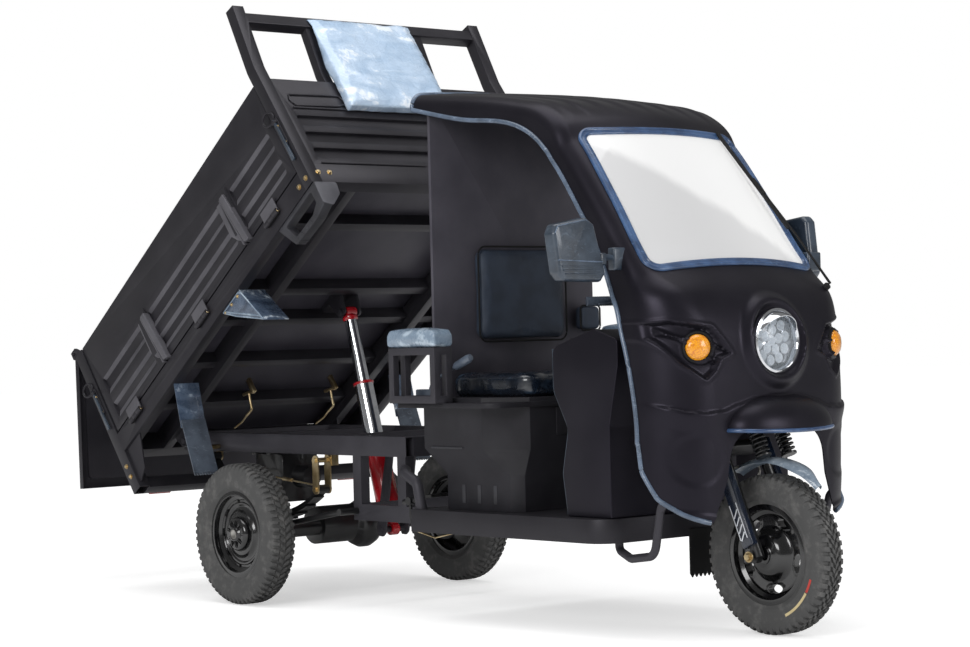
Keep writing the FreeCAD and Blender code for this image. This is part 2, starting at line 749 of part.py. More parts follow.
def leaf_springs():
    # Five leaves a side, each an arc about one centre, with an eye at both ends of the main leaf
    low = vec(0, 0, spring_low)
    main = Part.Arc(spring_rear, low, spring_front).toShape().Curve
    centre = main.Center
    radius = main.Radius
    start = math.atan2(spring_rear.z - centre.z, spring_rear.x - centre.x)
    end = math.atan2(spring_front.z - centre.z, spring_front.x - centre.x)
    middle = math.atan2(low.z - centre.z, low.x - centre.x)
    y = spring_half - spring_width / 2
    leaves = []
    for i in range(5):
        share = (1.0, 0.9, 0.72, 0.54, 0.36)[i]
        a = middle + (start - middle) * share
        b = middle + (end - middle) * share

        def at(angle, r):
            return vec(centre.x + r * math.cos(angle), y, centre.z + r * math.sin(angle))
        inner = radius + i * spring_leaf
        outer = inner + spring_leaf
        wire = Part.Wire([
            Part.Arc(at(a, inner), at((a + b) / 2, inner), at(b, inner)).toShape(),
            Part.makeLine(at(b, inner), at(b, outer)),
            Part.Arc(at(b, outer), at((a + b) / 2, outer), at(a, outer)).toShape(),
            Part.makeLine(at(a, outer), at(a, inner)),
        ])
        leaves.append(Part.Face(wire).extrude(vec(0, spring_width, 0)))
    eyes = []
    for end_point in (spring_rear, spring_front):
        eyes.append(rod(vec(end_point.x, y, end_point.z), vec(end_point.x, y + spring_width, end_point.z),
                        17))
    clamp = block((-30, 30), (y - 6, y + spring_width + 6),
                  (rear_tyre_diameter / 2 + 40, spring_low + spring_leaf + 6))
    stack = joined(leaves + eyes + [clamp])
    for end_point in (spring_rear, spring_front):
        stack = stack.cut(rod(vec(end_point.x, y - 10, end_point.z),
                              vec(end_point.x, y + spring_width + 10, end_point.z), 10))
    return both_sides(stack)


def spring_shackles():
    # Plates and pins that hang the springs from the rails
    pieces = []
    y = spring_half - spring_width / 2
    gap = seat_gap
    for end_point, top in ((spring_front, vec(320, 0, 552)), (spring_rear, vec(-395, 0, 590))):
        low, high = end_point.z - 18, top.z + 18
        for a, b in ((y - gap - 6, y - gap), (y + spring_width + gap, y + spring_width + gap + 6)):
            pieces.append(plate([(end_point.x - 18, low), (end_point.x + 18, low),
                                 (end_point.x + 18, high), (end_point.x - 18, high)], "xz", a, b, 16))
        pieces.append(rod(vec(end_point.x, y - 14, end_point.z),
                          vec(end_point.x, y + spring_width + 14, end_point.z), 9.5))
        pieces.append(rod(vec(top.x, rail_outer - 20, top.z), vec(top.x, y + spring_width + 14, top.z), 9.5))
    hanger = block((320 - 22, 320 + 22), (rail_inner, rail_outer - 8), (530, rail_bottom))
    return both_sides(joined(pieces + [hanger]).cut(block((-700, 700), (0, rail_outer),
                                                          (rail_bottom, rail_top))))


def radius_rods():
    # A rod a side from the chassis post to the axle, and the brake rod with its turnbuckle
    height = rear_tyre_diameter / 2
    y = 445.0
    rod_piece = joined([
        rod(vec(rear_post_station + 20, y, 365), vec(110, y, height + 30), 11),
        rod(vec(rear_post_station + 20, rail_outer, 365), vec(rear_post_station + 20, y + 16, 365), 13),
        rod(vec(110, y, height + 30), vec(34, y, height + 10), 12),
        block((20, 50), (y - 12, y + 12), (height - 10, height + 22)),
    ])
    return both_sides(rod_piece.cut(rod(vec(0, 0, height), vec(0, 600, height), 32 + seat_gap)))


def power_pack():
    # The hoist's electric pump and tank, slung between the rails
    tank = block((-250, -70), (-300, -130), (372, 560))
    motor = rod(vec(-70, -215, 470), vec(10, -215, 470), 44)
    hangers = [block((-190 + a, -190 + a + 30), (-rail_inner, -150), (560, rail_bottom)) for a in (-40, 60)]
    return joined([tank, motor] + hangers)


def front_mudflap():
    # A rubber flap behind the front wheel, with a toothed lower edge
    teeth = []
    count = 9
    for i in range(count + 1):
        y = -90 + 180.0 * i / count
        teeth.append((y, 190))
        if i < count:
            teeth.append((y + 90.0 / count, 176))
    outline = [(90, 340), (-90, 340)] + teeth
    return plate(outline, "yz", cab_floor_front + seat_gap, cab_floor_front + seat_gap + 5)


# The bed, in its own frame

def bed_frame():
    pieces = []
    half = bed_half
    for side in (-1, 1):
        def across(a, b):
            return sorted((side * a, side * b))
        pieces.append(box_tube((rear_post_depth, bed_length - post_tube), across(half, half - sill_width),
                               (0, floor_top - floor_gauge), "x"))
        pieces.append(box_tube((rear_post_depth, bed_length - post_tube),
                               across(bed_rail_outer, bed_rail_outer - bed_rail_width),
                               (0, bed_rail_depth), "x"))
        # Rear corner posts reach down to the bumper
        pieces.append(box_tube((0, rear_post_depth), across(half, half - sill_width),
                               (-rear_post_drop, bed_side_height), "z"))
        # The hinge ears over the tailgate
        pieces.append(plate([(tailgate_hinge_along - 16, tailgate_hinge_height - 16),
                             (tailgate_hinge_along - 16, tailgate_hinge_height + 16),
                             (tailgate_hinge_along + 20, tailgate_hinge_height + 16),
                             (40, bed_side_height), (0, bed_side_height - 20)], "xz",
                            *across(half - 8, half - 20)).cut(
            rod(vec(tailgate_hinge_along, -half, tailgate_hinge_height),
                vec(tailgate_hinge_along, half, tailgate_hinge_height), 6 + running_gap)))
        # Gussets behind the bumper's ends
        seam = tube_wall / 2
        pieces.append(plate([(rear_post_depth - seam, seam), (rear_post_depth - seam, -rear_post_drop + 22),
                             (rear_post_depth + 60, -rear_post_drop + 50), (rear_post_depth + 120, seam)],
                             "xz",
                            *across(half - 14, half - 20)))
        # The pivot lugs hang beside the chassis rails
        lug_in = rail_outer + moving_gap
        pieces.append(pivot_lug(across(lug_in, lug_in + pivot_lug_thickness)))
        pieces.append(hinge_knuckles(side))
    inside = (-half + sill_width, half - sill_width)
    pieces.append(box_tube((0, rear_post_depth), inside, (0, floor_top - floor_gauge), "y"))
    pieces.append(box_tube((bed_length - post_tube - rail_lap, bed_length), inside, (0, sill_height), "y"))
    pieces.append(box_tube((seat_gap, rear_post_depth - 10), inside,
                           (-rear_post_drop + seat_gap, -rear_post_drop + 50), "y"))
    for station in bed_cross_stations:
        pieces.append(box_tube((station - bed_cross_width / 2, station + bed_cross_width / 2), inside,
                               (floor_top - floor_gauge - bed_cross_depth, floor_top - floor_gauge), "y"))
    # The hoist's clevis under the floor
    ear_in = hoist_stage_radii[1] + hoist_cheek_gap
    for side in (-1, 1):
        low, high = sorted((side * ear_in, side * (ear_in + 8)))
        ear = plate([(hoist_eye_along - 40, 60), (hoist_eye_along - 22, hoist_eye_height - 18),
                     (hoist_eye_along + 22, hoist_eye_height - 18), (hoist_eye_along + 56, 60)], "xz",
                     low, high, [0, 16, 16, 0])
        boss = rod(vec(hoist_eye_along, side * (ear_in + 8), hoist_eye_height),
                   vec(hoist_eye_along, side * (ear_in + 18), hoist_eye_height), 14)
        pieces.append(joined([ear, boss]))
    pieces.append(block((hoist_eye_along - 100, hoist_eye_along + 60), (-ear_in - 8, ear_in + 8),
                        (60, floor_top - floor_gauge)))
    return raised(joined(pieces))


def pivot_lug(across):
    centre = -pivot_drop
    blade = plate([(pivot_along - 60, 40), (pivot_along - pivot_lug_radius, centre),
                   (pivot_along, centre - pivot_lug_radius),
                   (pivot_along + pivot_lug_radius, centre), (pivot_along + 60, 40)], "xz", across[0],
                   across[1], 0)
    disc = rod(vec(pivot_along, across[0], centre), vec(pivot_along, across[1], centre), pivot_lug_radius)
    bore = rod(vec(pivot_along, across[0] - 1, centre), vec(pivot_along, across[1] + 1, centre),
               pivot_pin_radius + running_gap)
    return joined([blade, disc]).cut(bore)


def hinge_axis_y():
    return bed_half + gate_hinge_radius + 1.0


def hinge_knuckles(side):
    # The middle knuckle of each gate hinge stands on the sill, with the hinge's pin
    pieces = []
    y = side * hinge_axis_y()
    for station in gate_hinge_stations:
        third = gate_hinge_length / 3
        pieces.append(rod(vec(station - third / 2, y, gate_hinge_height),
                          vec(station + third / 2, y, gate_hinge_height),
                          gate_hinge_radius))
        low, high = sorted((side * (bed_half - 2), y))
        pieces.append(block((station - third / 2, station + third / 2), (low, high),
                            (gate_hinge_height - 5, gate_hinge_height + 5)))
        pieces.append(rod(vec(station - gate_hinge_length / 2 - 6, y, gate_hinge_height),
                          vec(station + gate_hinge_length / 2 + 6, y, gate_hinge_height), 5))
    return joined(pieces)


def side_gate(side):
    # A pressed panel with a wide upper band, two long recesses and two stiffeners
    outer = bed_half - 4
    inner = outer - gate_thickness
    rear = rear_post_depth + gate_gap
    front = bed_length - post_tube - gate_gap
    low = sill_height + gate_gap
    y = side * hinge_axis_y()

    def across(a, b):
        return sorted((side * a, side * b))
    # A sheet folded in at its edges, with long troughs pressed inwards
    panel = block((rear, front), across(inner, outer), (low, bed_side_height))
    panel = panel.cut(block((rear + sheet, front - sheet), across(inner - 1, outer - sheet),
                            (low + sheet, bed_side_height - sheet)))
    troughs = []
    hollows = []
    for bottom, top in ((low + 34, low + 110), (low + 150, low + 236)):
        for a, b in ((rear + 40, gate_rib_stations[0] - 34),
                     (gate_rib_stations[0] + 34, gate_rib_stations[1] - 34),
                     (gate_rib_stations[1] + 34, front - 40)):
            troughs.append(plate([(a, bottom), (b, bottom), (b, top), (a, top)], "xz",
                                 *across(outer - gate_trough - sheet, outer), 12 + sheet))
            hollows.append(plate([(a + sheet, bottom + sheet), (b - sheet, bottom + sheet),
                                  (b - sheet, top - sheet),
                                  (a + sheet, top - sheet)], "xz",
                                  *across(outer - gate_trough, outer + 1), 12))
    panel = joined([panel] + troughs).cut(Part.makeCompound(hollows))
    pieces = [panel]
    for station in gate_rib_stations:
        pieces.append(plate([(outer - 1, low + 20), (outer + 12, low + 60), (outer + 12, low + 240),
                             (outer - 1, low + 268)],
                            "yz", station - 26, station + 26, 0) if side > 0 else
                      mirrored(plate([(outer - 1, low + 20), (outer + 12, low + 60), (outer + 12, low + 240),
                                      (outer - 1, low + 268)], "yz", station - 26, station + 26, 0)))
    third = gate_hinge_length / 3
    for station in gate_hinge_stations:
        for offset in (-third, third):
            a = station + offset - third / 2 + 1
            b = station + offset + third / 2 - 1
            pieces.append(rod(vec(a, y, gate_hinge_height), vec(b, y, gate_hinge_height), gate_hinge_radius))
            strap = block((a, b), across(bed_half + 2, bed_half + 8), (gate_hinge_height, low + 16))
            web = block((a, b), across(outer - 1, bed_half + 8), (low + 4, low + 16))
            pieces += [strap, web]
    gate = joined(pieces)
    for station in gate_hinge_stations:
        gate = gate.cut(rod(vec(station - gate_hinge_length, y, gate_hinge_height),
                            vec(station + gate_hinge_length, y, gate_hinge_height), 5 + running_gap))
    return raised(gate)


def bed_floor():
    half = bed_half - sill_width
    front = bed_length - post_tube - rail_lap
    return raised(block((rear_post_depth, front), (-half, half), (floor_top - floor_gauge, floor_top)))


def headboard():
    # A pressed panel between the front posts, with an edge flange and recessed bands
    half = bed_half - post_tube - seat_gap
    front = bed_length
    face = front - 4
    panel = block((face - 26, face), (-half, half), (sill_height, headboard_height))
    panel = panel.cut(block((face - 27, face - sheet), (-half + sheet, half - sheet),
                            (sill_height + sheet, headboard_height - sheet)))
    troughs = []
    hollows = []
    for low, high in ((120.0, 176.0), (200.0, 256.0), (282.0, 338.0)):
        troughs.append(plate([(-half + 34, low), (half - 34, low), (half - 34, high), (-half + 34, high)],
                             "yz",
                             face - gate_trough - sheet, face, 12 + sheet))
        hollows.append(plate([(-half + 34 + sheet, low + sheet), (half - 34 - sheet, low + sheet),
                              (half - 34 - sheet, high - sheet), (-half + 34 + sheet, high - sheet)], "yz",
                             face - gate_trough, face + 1, 12))
    return raised(joined([panel] + troughs).cut(Part.makeCompound(hollows)))


def rack_leaning(height):
    # How far the rack leans forwards at a height over the sill
    return rack_lean * (height - rack_bend_start) / (rack_top - rack_bend_start)


def headboard_rack():
    # Corner posts that lean forwards at the top, with a cross bar and two middle uprights
    face = bed_length - post_tube / 2
    outer = bed_half - post_tube / 2
    bar = rack_bar_height
    pieces = []
    for side in (-1, 1):
        pieces.append(square_tube([vec(face, side * outer, 0), vec(face, side * outer, rack_bend_start),
                                   vec(face + rack_lean, side * outer, rack_top)], [0, 120, 0], post_tube,
                                   post_tube,
                                  vec(0, 1, 0)))
    lean = rack_leaning(bar)
    inner = outer - post_tube / 2 + 1
    pieces.append(block((face + lean - 22, face + lean + 22), (-inner, inner), (bar - 24, bar + 24)))
    joint = bar - 14
    for side in (-1, 1):
        y = side * rack_middle_half
        pieces.append(square_tube([vec(face - 8, y, headboard_height + seat_gap),
                                   vec(face - 8, y, rack_bend_start),
                                   vec(face - 3 + rack_leaning(joint), y, joint)], [0, 60, 0],
                                  rack_upright_tube, rack_upright_tube, vec(0, 1, 0)))
    return raised(joined(pieces))


def rack_pad():
    # A padded sheet that hangs over the cross bar, in front of the headboard
    bar_face = bed_length - post_tube / 2 + rack_leaning(rack_bar_height) + 22 + seat_gap
    bar_top = rack_bar_height + 24 + seat_gap
    back = bed_length + seat_gap
    outline = [(back, 352), (back + 46, 352), (back + 50, 600), (back + 50, bar_top - 10),
               (back + 40, bar_top + 8),
               (bar_face - 44, bar_top + 8), (bar_face - 44, bar_top), (bar_face, bar_top),
               (bar_face, 770), (back, 588)]
    return raised(plate(outline, "xz", -285, 240, 0))


def tail_lamps():
    lamps = []
    for side in (-1, 1):
        across = sorted((side * 430, side * 530))
        lamps.append(block((-14, 0), across, (-rear_post_drop + 4, -rear_post_drop + 46)))
    return raised(Part.makeCompound(lamps))


def gate_latches():
    # Over-centre latches on the outer faces of the four posts
    pieces = []
    for side in (-1, 1):
        def across(a, b):
            return sorted((side * a, side * b))
        for station in (bed_length - post_tube / 2, rear_post_depth / 2):
            base = block((station - 14, station + 14), across(bed_half, bed_half + 6), (200, 320))
            lever = block((station - 8, station + 8), across(bed_half + 6, bed_half + 18), (150, 300))
            pieces.append(joined([base, lever]))
    return raised(Part.makeCompound(pieces))




def mudguards():
    # Two plates a side hang from the bed, behind and in front of the wheel. The front one has a skirt.
    gauge = 3.0
    rear = plate(path_outline([(500, -seat_gap), (430, -166)], gauge), "xz", guard_inner, guard_outer, 0)
    front = plate(path_outline([(1142, -187), (1088, -seat_gap)], gauge), "xz", guard_inner, guard_outer, 0)
    middle = vec(1010, guard_outer - gauge, -66)
    wire = Part.Wire([
        Part.makeLine(vec(949, middle.y, -seat_gap), vec(1087, middle.y, -seat_gap)),
        Part.makeLine(vec(1087, middle.y, -seat_gap), vec(1141, middle.y, -187)),
        Part.Arc(vec(1141, middle.y, -187), middle, vec(949, middle.y, -seat_gap)).toShape(),
    ])
    skirt = Part.Face(wire).extrude(vec(0, gauge, 0))
    return raised(Part.makeCompound([both_sides(rear), both_sides(joined([front, skirt]))]))


def path_outline(line, gauge):
    # A thin closed outline that follows a line at an even thickness
    other = []
    for i, (a, h) in enumerate(line):
        before = line[max(i - 1, 0)]
        after = line[min(i + 1, len(line) - 1)]
        run = math.hypot(after[0] - before[0], after[1] - before[1])
        normal = ((after[1] - before[1]) / run, -(after[0] - before[0]) / run)
        other.append((a - normal[0] * gauge, h - normal[1] * gauge))
    return list(line) + other[::-1]


def mudflaps():
    # Rubber flaps on the rear guards' lower ends
    line = [(444.3 + seat_gap, -140), (386, -356)]
    return raised(both_sides(plate(path_outline(line, 5), "xz", guard_inner + 2, guard_outer - 2, 0)))


def corner_handles():
    # A moulded loop under each front corner of the bed, with a plate across its front
    outline = [(1432, -seat_gap), (1712, -seat_gap), (1712, -104), (1640, -118), (1486, -112)]
    hole = [(1476, -18), (1676, -18), (1676, -70), (1630, -92), (1504, -90)]
    loop = plate(outline, "xz", 564, 604, [0, 0, 10, 14, 14])
    loop = loop.cut(plate(hole, "xz", 560, 610, [8, 8, 8, 10, 10]))
    front = plate([(500, -seat_gap), (600, -seat_gap), (600, -100), (566, -108), (516, -60)], "yz", 1690,
                  1711, 0)
    return raised(both_sides(joined([loop, front])))


def hold_down_hooks():
    # Bent straps under the floor that hook the bed down to the chassis
    pieces = []
    for side in (-1, 1):
        y = side * 207
        root = floor_top - floor_gauge - bed_cross_depth - seat_gap
        pieces.append(bent_tube([vec(562, y, root), vec(562, y, 8), vec(480, y, -20), vec(480, y, -62),
                                 vec(504, y, -78)],
                                [0, 10, 10, 10, 0], 6))
    return raised(Part.makeCompound(pieces))


def tailgate_solid():
    # In the bed's frame, closed against the rear posts
    outer = -moving_gap - tailgate_thickness
    inner = -moving_gap
    half = tailgate_half
    top = tailgate_hinge_height - 20
    panel = block((outer, inner), (-half, half), (tailgate_bottom, top))
    recess = plate([(-half + 40, tailgate_bottom + 40), (half - 40, tailgate_bottom + 40),
                    (half - 40, top - 40),
                    (-half + 40, top - 40)], "yz", outer - 1, outer + 12, 20)
    hollow = block((outer + 12 + sheet, inner + 1), (-half + sheet, half - sheet),
                   (tailgate_bottom + sheet, top - sheet))
    edge = plate([(-half + sheet, tailgate_bottom + sheet), (half - sheet, tailgate_bottom + sheet),
                  (half - sheet, top - sheet), (-half + sheet, top - sheet)], "yz", outer + sheet, inner + 1)
    core = plate([(-half + 40 - sheet, tailgate_bottom + 40 - sheet),
                  (half - 40 + sheet, tailgate_bottom + 40 - sheet),
                  (half - 40 + sheet, top - 40 + sheet), (-half + 40 - sheet, top - 40 + sheet)], "yz",
                 outer, outer + 12 + sheet + 0.5, 20 + sheet)
    panel = panel.cut(recess).cut(edge.cut(core)).cut(hollow)
    knob = rod(vec(outer + 12, 0, 300), vec(outer - 22, 0, 300), 24)
    pieces = [panel, knob]
    for side in (-1, 1):
        low, high = sorted((side * (bed_half - 28), side * (bed_half - 60)))
        pieces.append(rod(vec(tailgate_hinge_along, low, tailgate_hinge_height),
                          vec(tailgate_hinge_along, high, tailgate_hinge_height), 14))
        pieces.append(block((tailgate_hinge_along - 8, tailgate_hinge_along + 8), (low, high),
                            (top - 20, tailgate_hinge_height)))
        a, b = sorted((side * (bed_half - 30), side * (bed_half - 4)))
        pieces.append(rod(vec(tailgate_hinge_along, a, tailgate_hinge_height),
                          vec(tailgate_hinge_along, b, tailgate_hinge_height), 6))
    return joined(pieces)


def tailgate_hang():
    # How far the tailgate turns from closed until its weight hangs straight down
    centre = tailgate_solid().CenterOfMass
    return math.degrees(math.atan2(centre.x - tailgate_hinge_along, tailgate_hinge_height - centre.z))


def tailgate():
    gate = tailgate_solid()
    hinge = raised_point(tailgate_hinge_along, 0, tailgate_hinge_height)
    gate.translate(vec(-tailgate_hinge_along, 0, -tailgate_hinge_height))
    gate.rotate(vec(0, 0, 0), vec(0, 1, 0), tailgate_hang())
    gate.translate(hinge)
    return gate


# The hoist, drawn out in two stages

def hoist_point(distance):
    return hoist_foot + hoist_axis * distance


def hoist_barrel():
    bore = hoist_stage_radii[0] + running_gap
    body = rod(hoist_point(26), hoist_point(hoist_barrel_length), hoist_barrel_radius)
    collar = rod(hoist_point(hoist_barrel_length - 26), hoist_point(hoist_barrel_length),
                 hoist_barrel_radius + 4)
    half = 16.0
    foot = joined([rod(hoist_foot - vec(0, half, 0), hoist_foot + vec(0, half, 0), 24),
                   rod(hoist_point(8), hoist_point(30), 22)])
    solid = joined([body, collar, foot])
    solid = solid.cut(rod(hoist_point(40), hoist_point(hoist_barrel_length + 5), bore))
    return solid.cut(rod(hoist_foot - vec(0, 60, 0), hoist_foot + vec(0, 60, 0),
                         hoist_pin_radius + running_gap))


def hoist_stage_1():
    start = 50 + hoist_stroke
    end = hoist_barrel_length + 4 + hoist_stroke
    tube = rod(hoist_point(start), hoist_point(end), hoist_stage_radii[0])
    ring = rod(hoist_point(end - 3), hoist_point(end + 9), hoist_stage_radii[0] + 4)
    bore = rod(hoist_point(start + 8), hoist_point(end + 20), hoist_stage_radii[1] + running_gap)
    return joined([tube, ring]).cut(bore)


def hoist_stage_2():
    start = 70 + 2 * hoist_stroke
    stage = rod(hoist_point(start), hoist_eye - hoist_axis * 18, hoist_stage_radii[1])
    half = hoist_stage_radii[1] - 2
    eye = rod(hoist_eye - vec(0, half, 0), hoist_eye + vec(0, half, 0), 22)
    return joined([stage, eye]).cut(rod(hoist_eye - vec(0, 60, 0), hoist_eye + vec(0, 60, 0),
                                        hoist_pin_radius))


# Steering

front_axle = vec(wheelbase, 0, front_tyre_diameter / 2)


def fork():
    # A stem in the steering head, a crown, and two legs down to the axle
    crown_low, crown_high = 40.0, 62.0
    pieces = [rod(steer_point(crown_low), steer_point(head_tube_high + 30), stem_radius)]
    crown = []
    rake = math.radians(steer_rake)
    half = fork_leg_half + 26
    corners = [(-30, -half), (fork_leg_offset + 26, -half), (fork_leg_offset + 26, half), (-30, half)]
    for f, y in corners:
        crown.append(steer_point(crown_low, f, y))
    face = Part.Face(Part.Wire(path_edges(crown, 24, True)))
    pieces.append(face.extrude((steer_point(crown_high) - steer_point(crown_low))))
    lower = (front_axle - steer_point(0)).dot((steer_point(1) - steer_point(0)))
    for side in (-1, 1):
        y = side * fork_leg_half
        top = steer_point(crown_high, fork_leg_offset, y)
        end = steer_point(lower - 12, fork_leg_offset, y)
        pieces.append(rod(end, top, fork_leg_radius))
        lug = rod(vec(front_axle.x, y - 8, front_axle.z), vec(front_axle.x, y + 8, front_axle.z), 22)
        pieces.append(lug)
        low_y, high_y = sorted((side * (fork_leg_half + 8), side * (fork_leg_half + 36)))
        cover = [steer_point(along, forward, low_y) for along, forward in (
            (crown_high + 4, fork_leg_offset - 22), (crown_high + 4, fork_leg_offset + 22),
            (lower + 30, fork_leg_offset + 24), (lower + 30, fork_leg_offset - 24))]
        face = Part.Face(Part.Wire(path_edges(cover, 8, True)))
        pieces.append(face.extrude(vec(0, high_y - low_y, 0)))
    reach = fork_leg_half + 46
    pieces.append(rod(front_axle - vec(0, reach, 0), front_axle + vec(0, reach, 0), axle_shaft_radius - 3))
    return joined(pieces)


def front_shocks():
    # Twin coil springs on top of the crown
    pieces = []
    for side in (-1, 1):
        y = side * 62
        low = steer_point(62 + seat_gap, fork_leg_offset, y)
        high = steer_point(150, fork_leg_offset, y)
        pieces.append(rod(low, high, 12))
        for i in range(5):
            start = steer_point(66 + 17 * i, fork_leg_offset, y)
            end = steer_point(73 + 17 * i, fork_leg_offset, y)
            pieces.append(rod(start, end, 24))
    return joined(pieces)


def front_fender():
    # A short blade that follows the tyre
    inner = front_tyre_diameter / 2 + fender_gap
    start, end = math.radians(50), math.radians(122)
    gauge = 3.0

    def at(angle, r, y=0.0):
        return vec(front_axle.x + r * math.cos(angle), y, front_axle.z + r * math.sin(angle))
    middle = (start + end) / 2
    wire = Part.Wire([
        Part.Arc(at(start, inner), at(middle, inner), at(end, inner)).toShape(),
        Part.makeLine(at(end, inner), at(end, inner + gauge)),
        Part.Arc(at(end, inner + gauge), at(middle, inner + gauge), at(start, inner + gauge)).toShape(),
        Part.makeLine(at(start, inner + gauge), at(start, inner)),
    ])
    half = fender_half
    face = Part.Face(wire)
    face.translate(vec(0, -half, 0))
    blade = face.extrude(vec(0, 2 * half, 0))
    leg = at(math.radians(90 + steer_rake), inner + gauge / 2)
    reach = fork_leg_half - fork_leg_radius - seat_gap
    stays = [block((leg.x - 14, leg.x + 14), sorted((side * (half - 3), side * reach)),
                   (leg.z - 14, leg.z + 14))
             for side in (-1, 1)]
    return joined([blade] + stays)


def handlebar():
    top = steer_point(head_tube_high + 30 + seat_gap)
    high = steer_point(540)
    pieces = [rod(top, high, stem_radius + 3)]
    bar = bent_tube([high + vec(0, 0, -6), high + vec(-6, 90, 14), high + vec(-70, 190, 60),
                     high + vec(-150, 330, 60)],
                    [0, 40, 60, 0], 11)
    grip = rod(high + vec(-102, 246, 60), high + vec(-150, 330, 60), 17)
    pieces += [bar, mirrored(bar), grip, mirrored(grip)]
    return joined(pieces)


# Wheels

def tyre(diameter, width, station, y):
    height = diameter / 2
    seat = rim_diameter / 2 + running_gap
    bead = rim_width / 2 - rim_gauge - running_gap
    crown = diameter / 2
    profile = [(-bead, seat), (-bead, seat + 14), (-width / 2 + 5, seat + 34), (-width / 2, seat + 56),
               (-width / 2 + 4, crown - 34), (-width / 2 + 14, crown - 12), (-width / 4, crown - 2),
               (0, crown),
               (width / 4, crown - 2), (width / 2 - 14, crown - 12), (width / 2 - 4, crown - 34),
               (width / 2, seat + 56),
               (width / 2 - 5, seat + 34), (bead, seat + 14), (bead, seat)]
    return turned(profile, station, height, y)


def rim_channel():
    half = rim_width / 2
    seat = rim_diameter / 2
    g = rim_gauge
    return [(-half, seat + rim_lip), (-half + g, seat + rim_lip), (-half + g, seat), (-half + 22, seat),
            (-half + 28, seat - rim_well), (half - 28, seat - rim_well), (half - 22, seat), (half - g, seat),
            (half - g, seat + rim_lip), (half, seat + rim_lip), (half, seat - g), (half - 24, seat - g),
            (half - 30, seat - rim_well - g), (-half + 30, seat - rim_well - g), (-half + 24, seat - g),
            (-half, seat - g)]


def front_rim():
    # A steel wheel: dropped channel, dished discs and a round hub
    height = front_tyre_diameter / 2
    seat = rim_diameter / 2 - rim_well - 2
    bore = axle_shaft_radius - 3 + running_gap
    disc = [(-4, seat), (-16, seat - 30), (-18, 84), (-30, 70), (-44, 62), (-50, 34), (-62, 30), (-62, bore),
            (62, bore), (62, 30), (50, 34), (44, 62), (30, 70), (18, 84), (16, seat - 30), (4, seat)]
    wheel = turned(rim_channel(), wheelbase, height).fuse(turned(disc, wheelbase, height))
    windows = []
    for i in range(5):
        window = rod(vec(wheelbase, -60, height + 112), vec(wheelbase, 60, height + 112), 15)
        window.rotate(vec(wheelbase, 0, height), vec(0, 1, 0), 72 * i)
        windows.append(window)
    return wheel.cut(Part.makeCompound(windows)).removeSplitter()


def rear_rim(side):
    height = rear_tyre_diameter / 2
    y = side * track / 2
    seat = rim_diameter / 2 - rim_well - 2
    bore = axle_shaft_radius + running_gap
    disc = [(14, seat), (6, seat - 14), (6, 92), (16, 80), (22, hub_cap_radius + 4), (22, hub_cap_radius),
            (44, hub_cap_radius - 6), (50, hub_cap_radius - 16), (52, 26), (50, 24), (50, 0), (24, 0),
            (24, bore),
            (-30, bore), (-30, 40), (2, 46), (2, seat - 20), (10, seat)]
    wheel = turned(rim_channel(), 0, height, y, side).fuse(turned(disc, 0, height, y, side))
    return wheel.removeSplitter()


# Everything is shifted so that the origin lies under the middle of the vehicle's box
front_end = wheelbase + front_tyre_diameter / 2
rear_end = raised_point(tailgate_hinge_along, 0, tailgate_hinge_height).x - 58
middle_station = (front_end + rear_end) / 2
middle_line = (hinge_axis_y() + gate_hinge_radius - mirror_reach) / 2

nodes = {
    "chassis_frame": chassis_frame,
    "cab_floor": cab_floor,
    "cab_shell": cab_shell,
    "cab_rear_wall": cab_rear_wall,
    "windshield": windshield,
    "windshield_gasket": windshield_gasket,
    "wiper": wiper,
    "headlamp": headlamp,
    "turn_signals": turn_signals,
    "mirrors": mirrors,
    "seat_base": seat_base,
    "battery": battery,
    "seat_cushion": seat_cushion,
    "backrest": backrest,
    "armrest_frames": armrest_frames,
    "armrest_pads": armrest_pads,
    "leg_shield": leg_shield,
    "rear_axle": rear_axle,
    "leaf_springs": leaf_springs,
    "spring_shackles": spring_shackles,
    "radius_rods": radius_rods,
    "power_pack": power_pack,
    "front_mudflap": front_mudflap,
    "bed_frame": bed_frame,
    "bed_floor": bed_floor,
    "headboard": headboard,
    "headboard_rack": headboard_rack,
    "rack_pad": rack_pad,
    "tail_lamps": tail_lamps,
    "gate_latches": gate_latches,
    "mudguards": mudguards,
    "mudflaps": mudflaps,
    "corner_handles": corner_handles,
    "hold_down_hooks": hold_down_hooks,
    "side_gate_right": lambda: side_gate(-1),
    "side_gate_left": lambda: side_gate(1),
    "tailgate": tailgate,
    "hoist_barrel": hoist_barrel,
    "hoist_stage_1": hoist_stage_1,
    "hoist_stage_2": hoist_stage_2,
    "fork": fork,
    "front_shocks": front_shocks,
    "front_fender": front_fender,
    "handlebar": handlebar,
    "front_tyre": lambda: tyre(front_tyre_diameter, front_tyre_width, wheelbase, 0),
    "front_rim": front_rim,
    "rear_tyre_right": lambda: tyre(rear_tyre_diameter, rear_tyre_width, 0, -track / 2),
    "rear_tyre_left": lambda: tyre(rear_tyre_diameter, rear_tyre_width, 0, track / 2),
    "rear_rim_right": lambda: rear_rim(-1),
    "rear_rim_left": lambda: rear_rim(1),
}


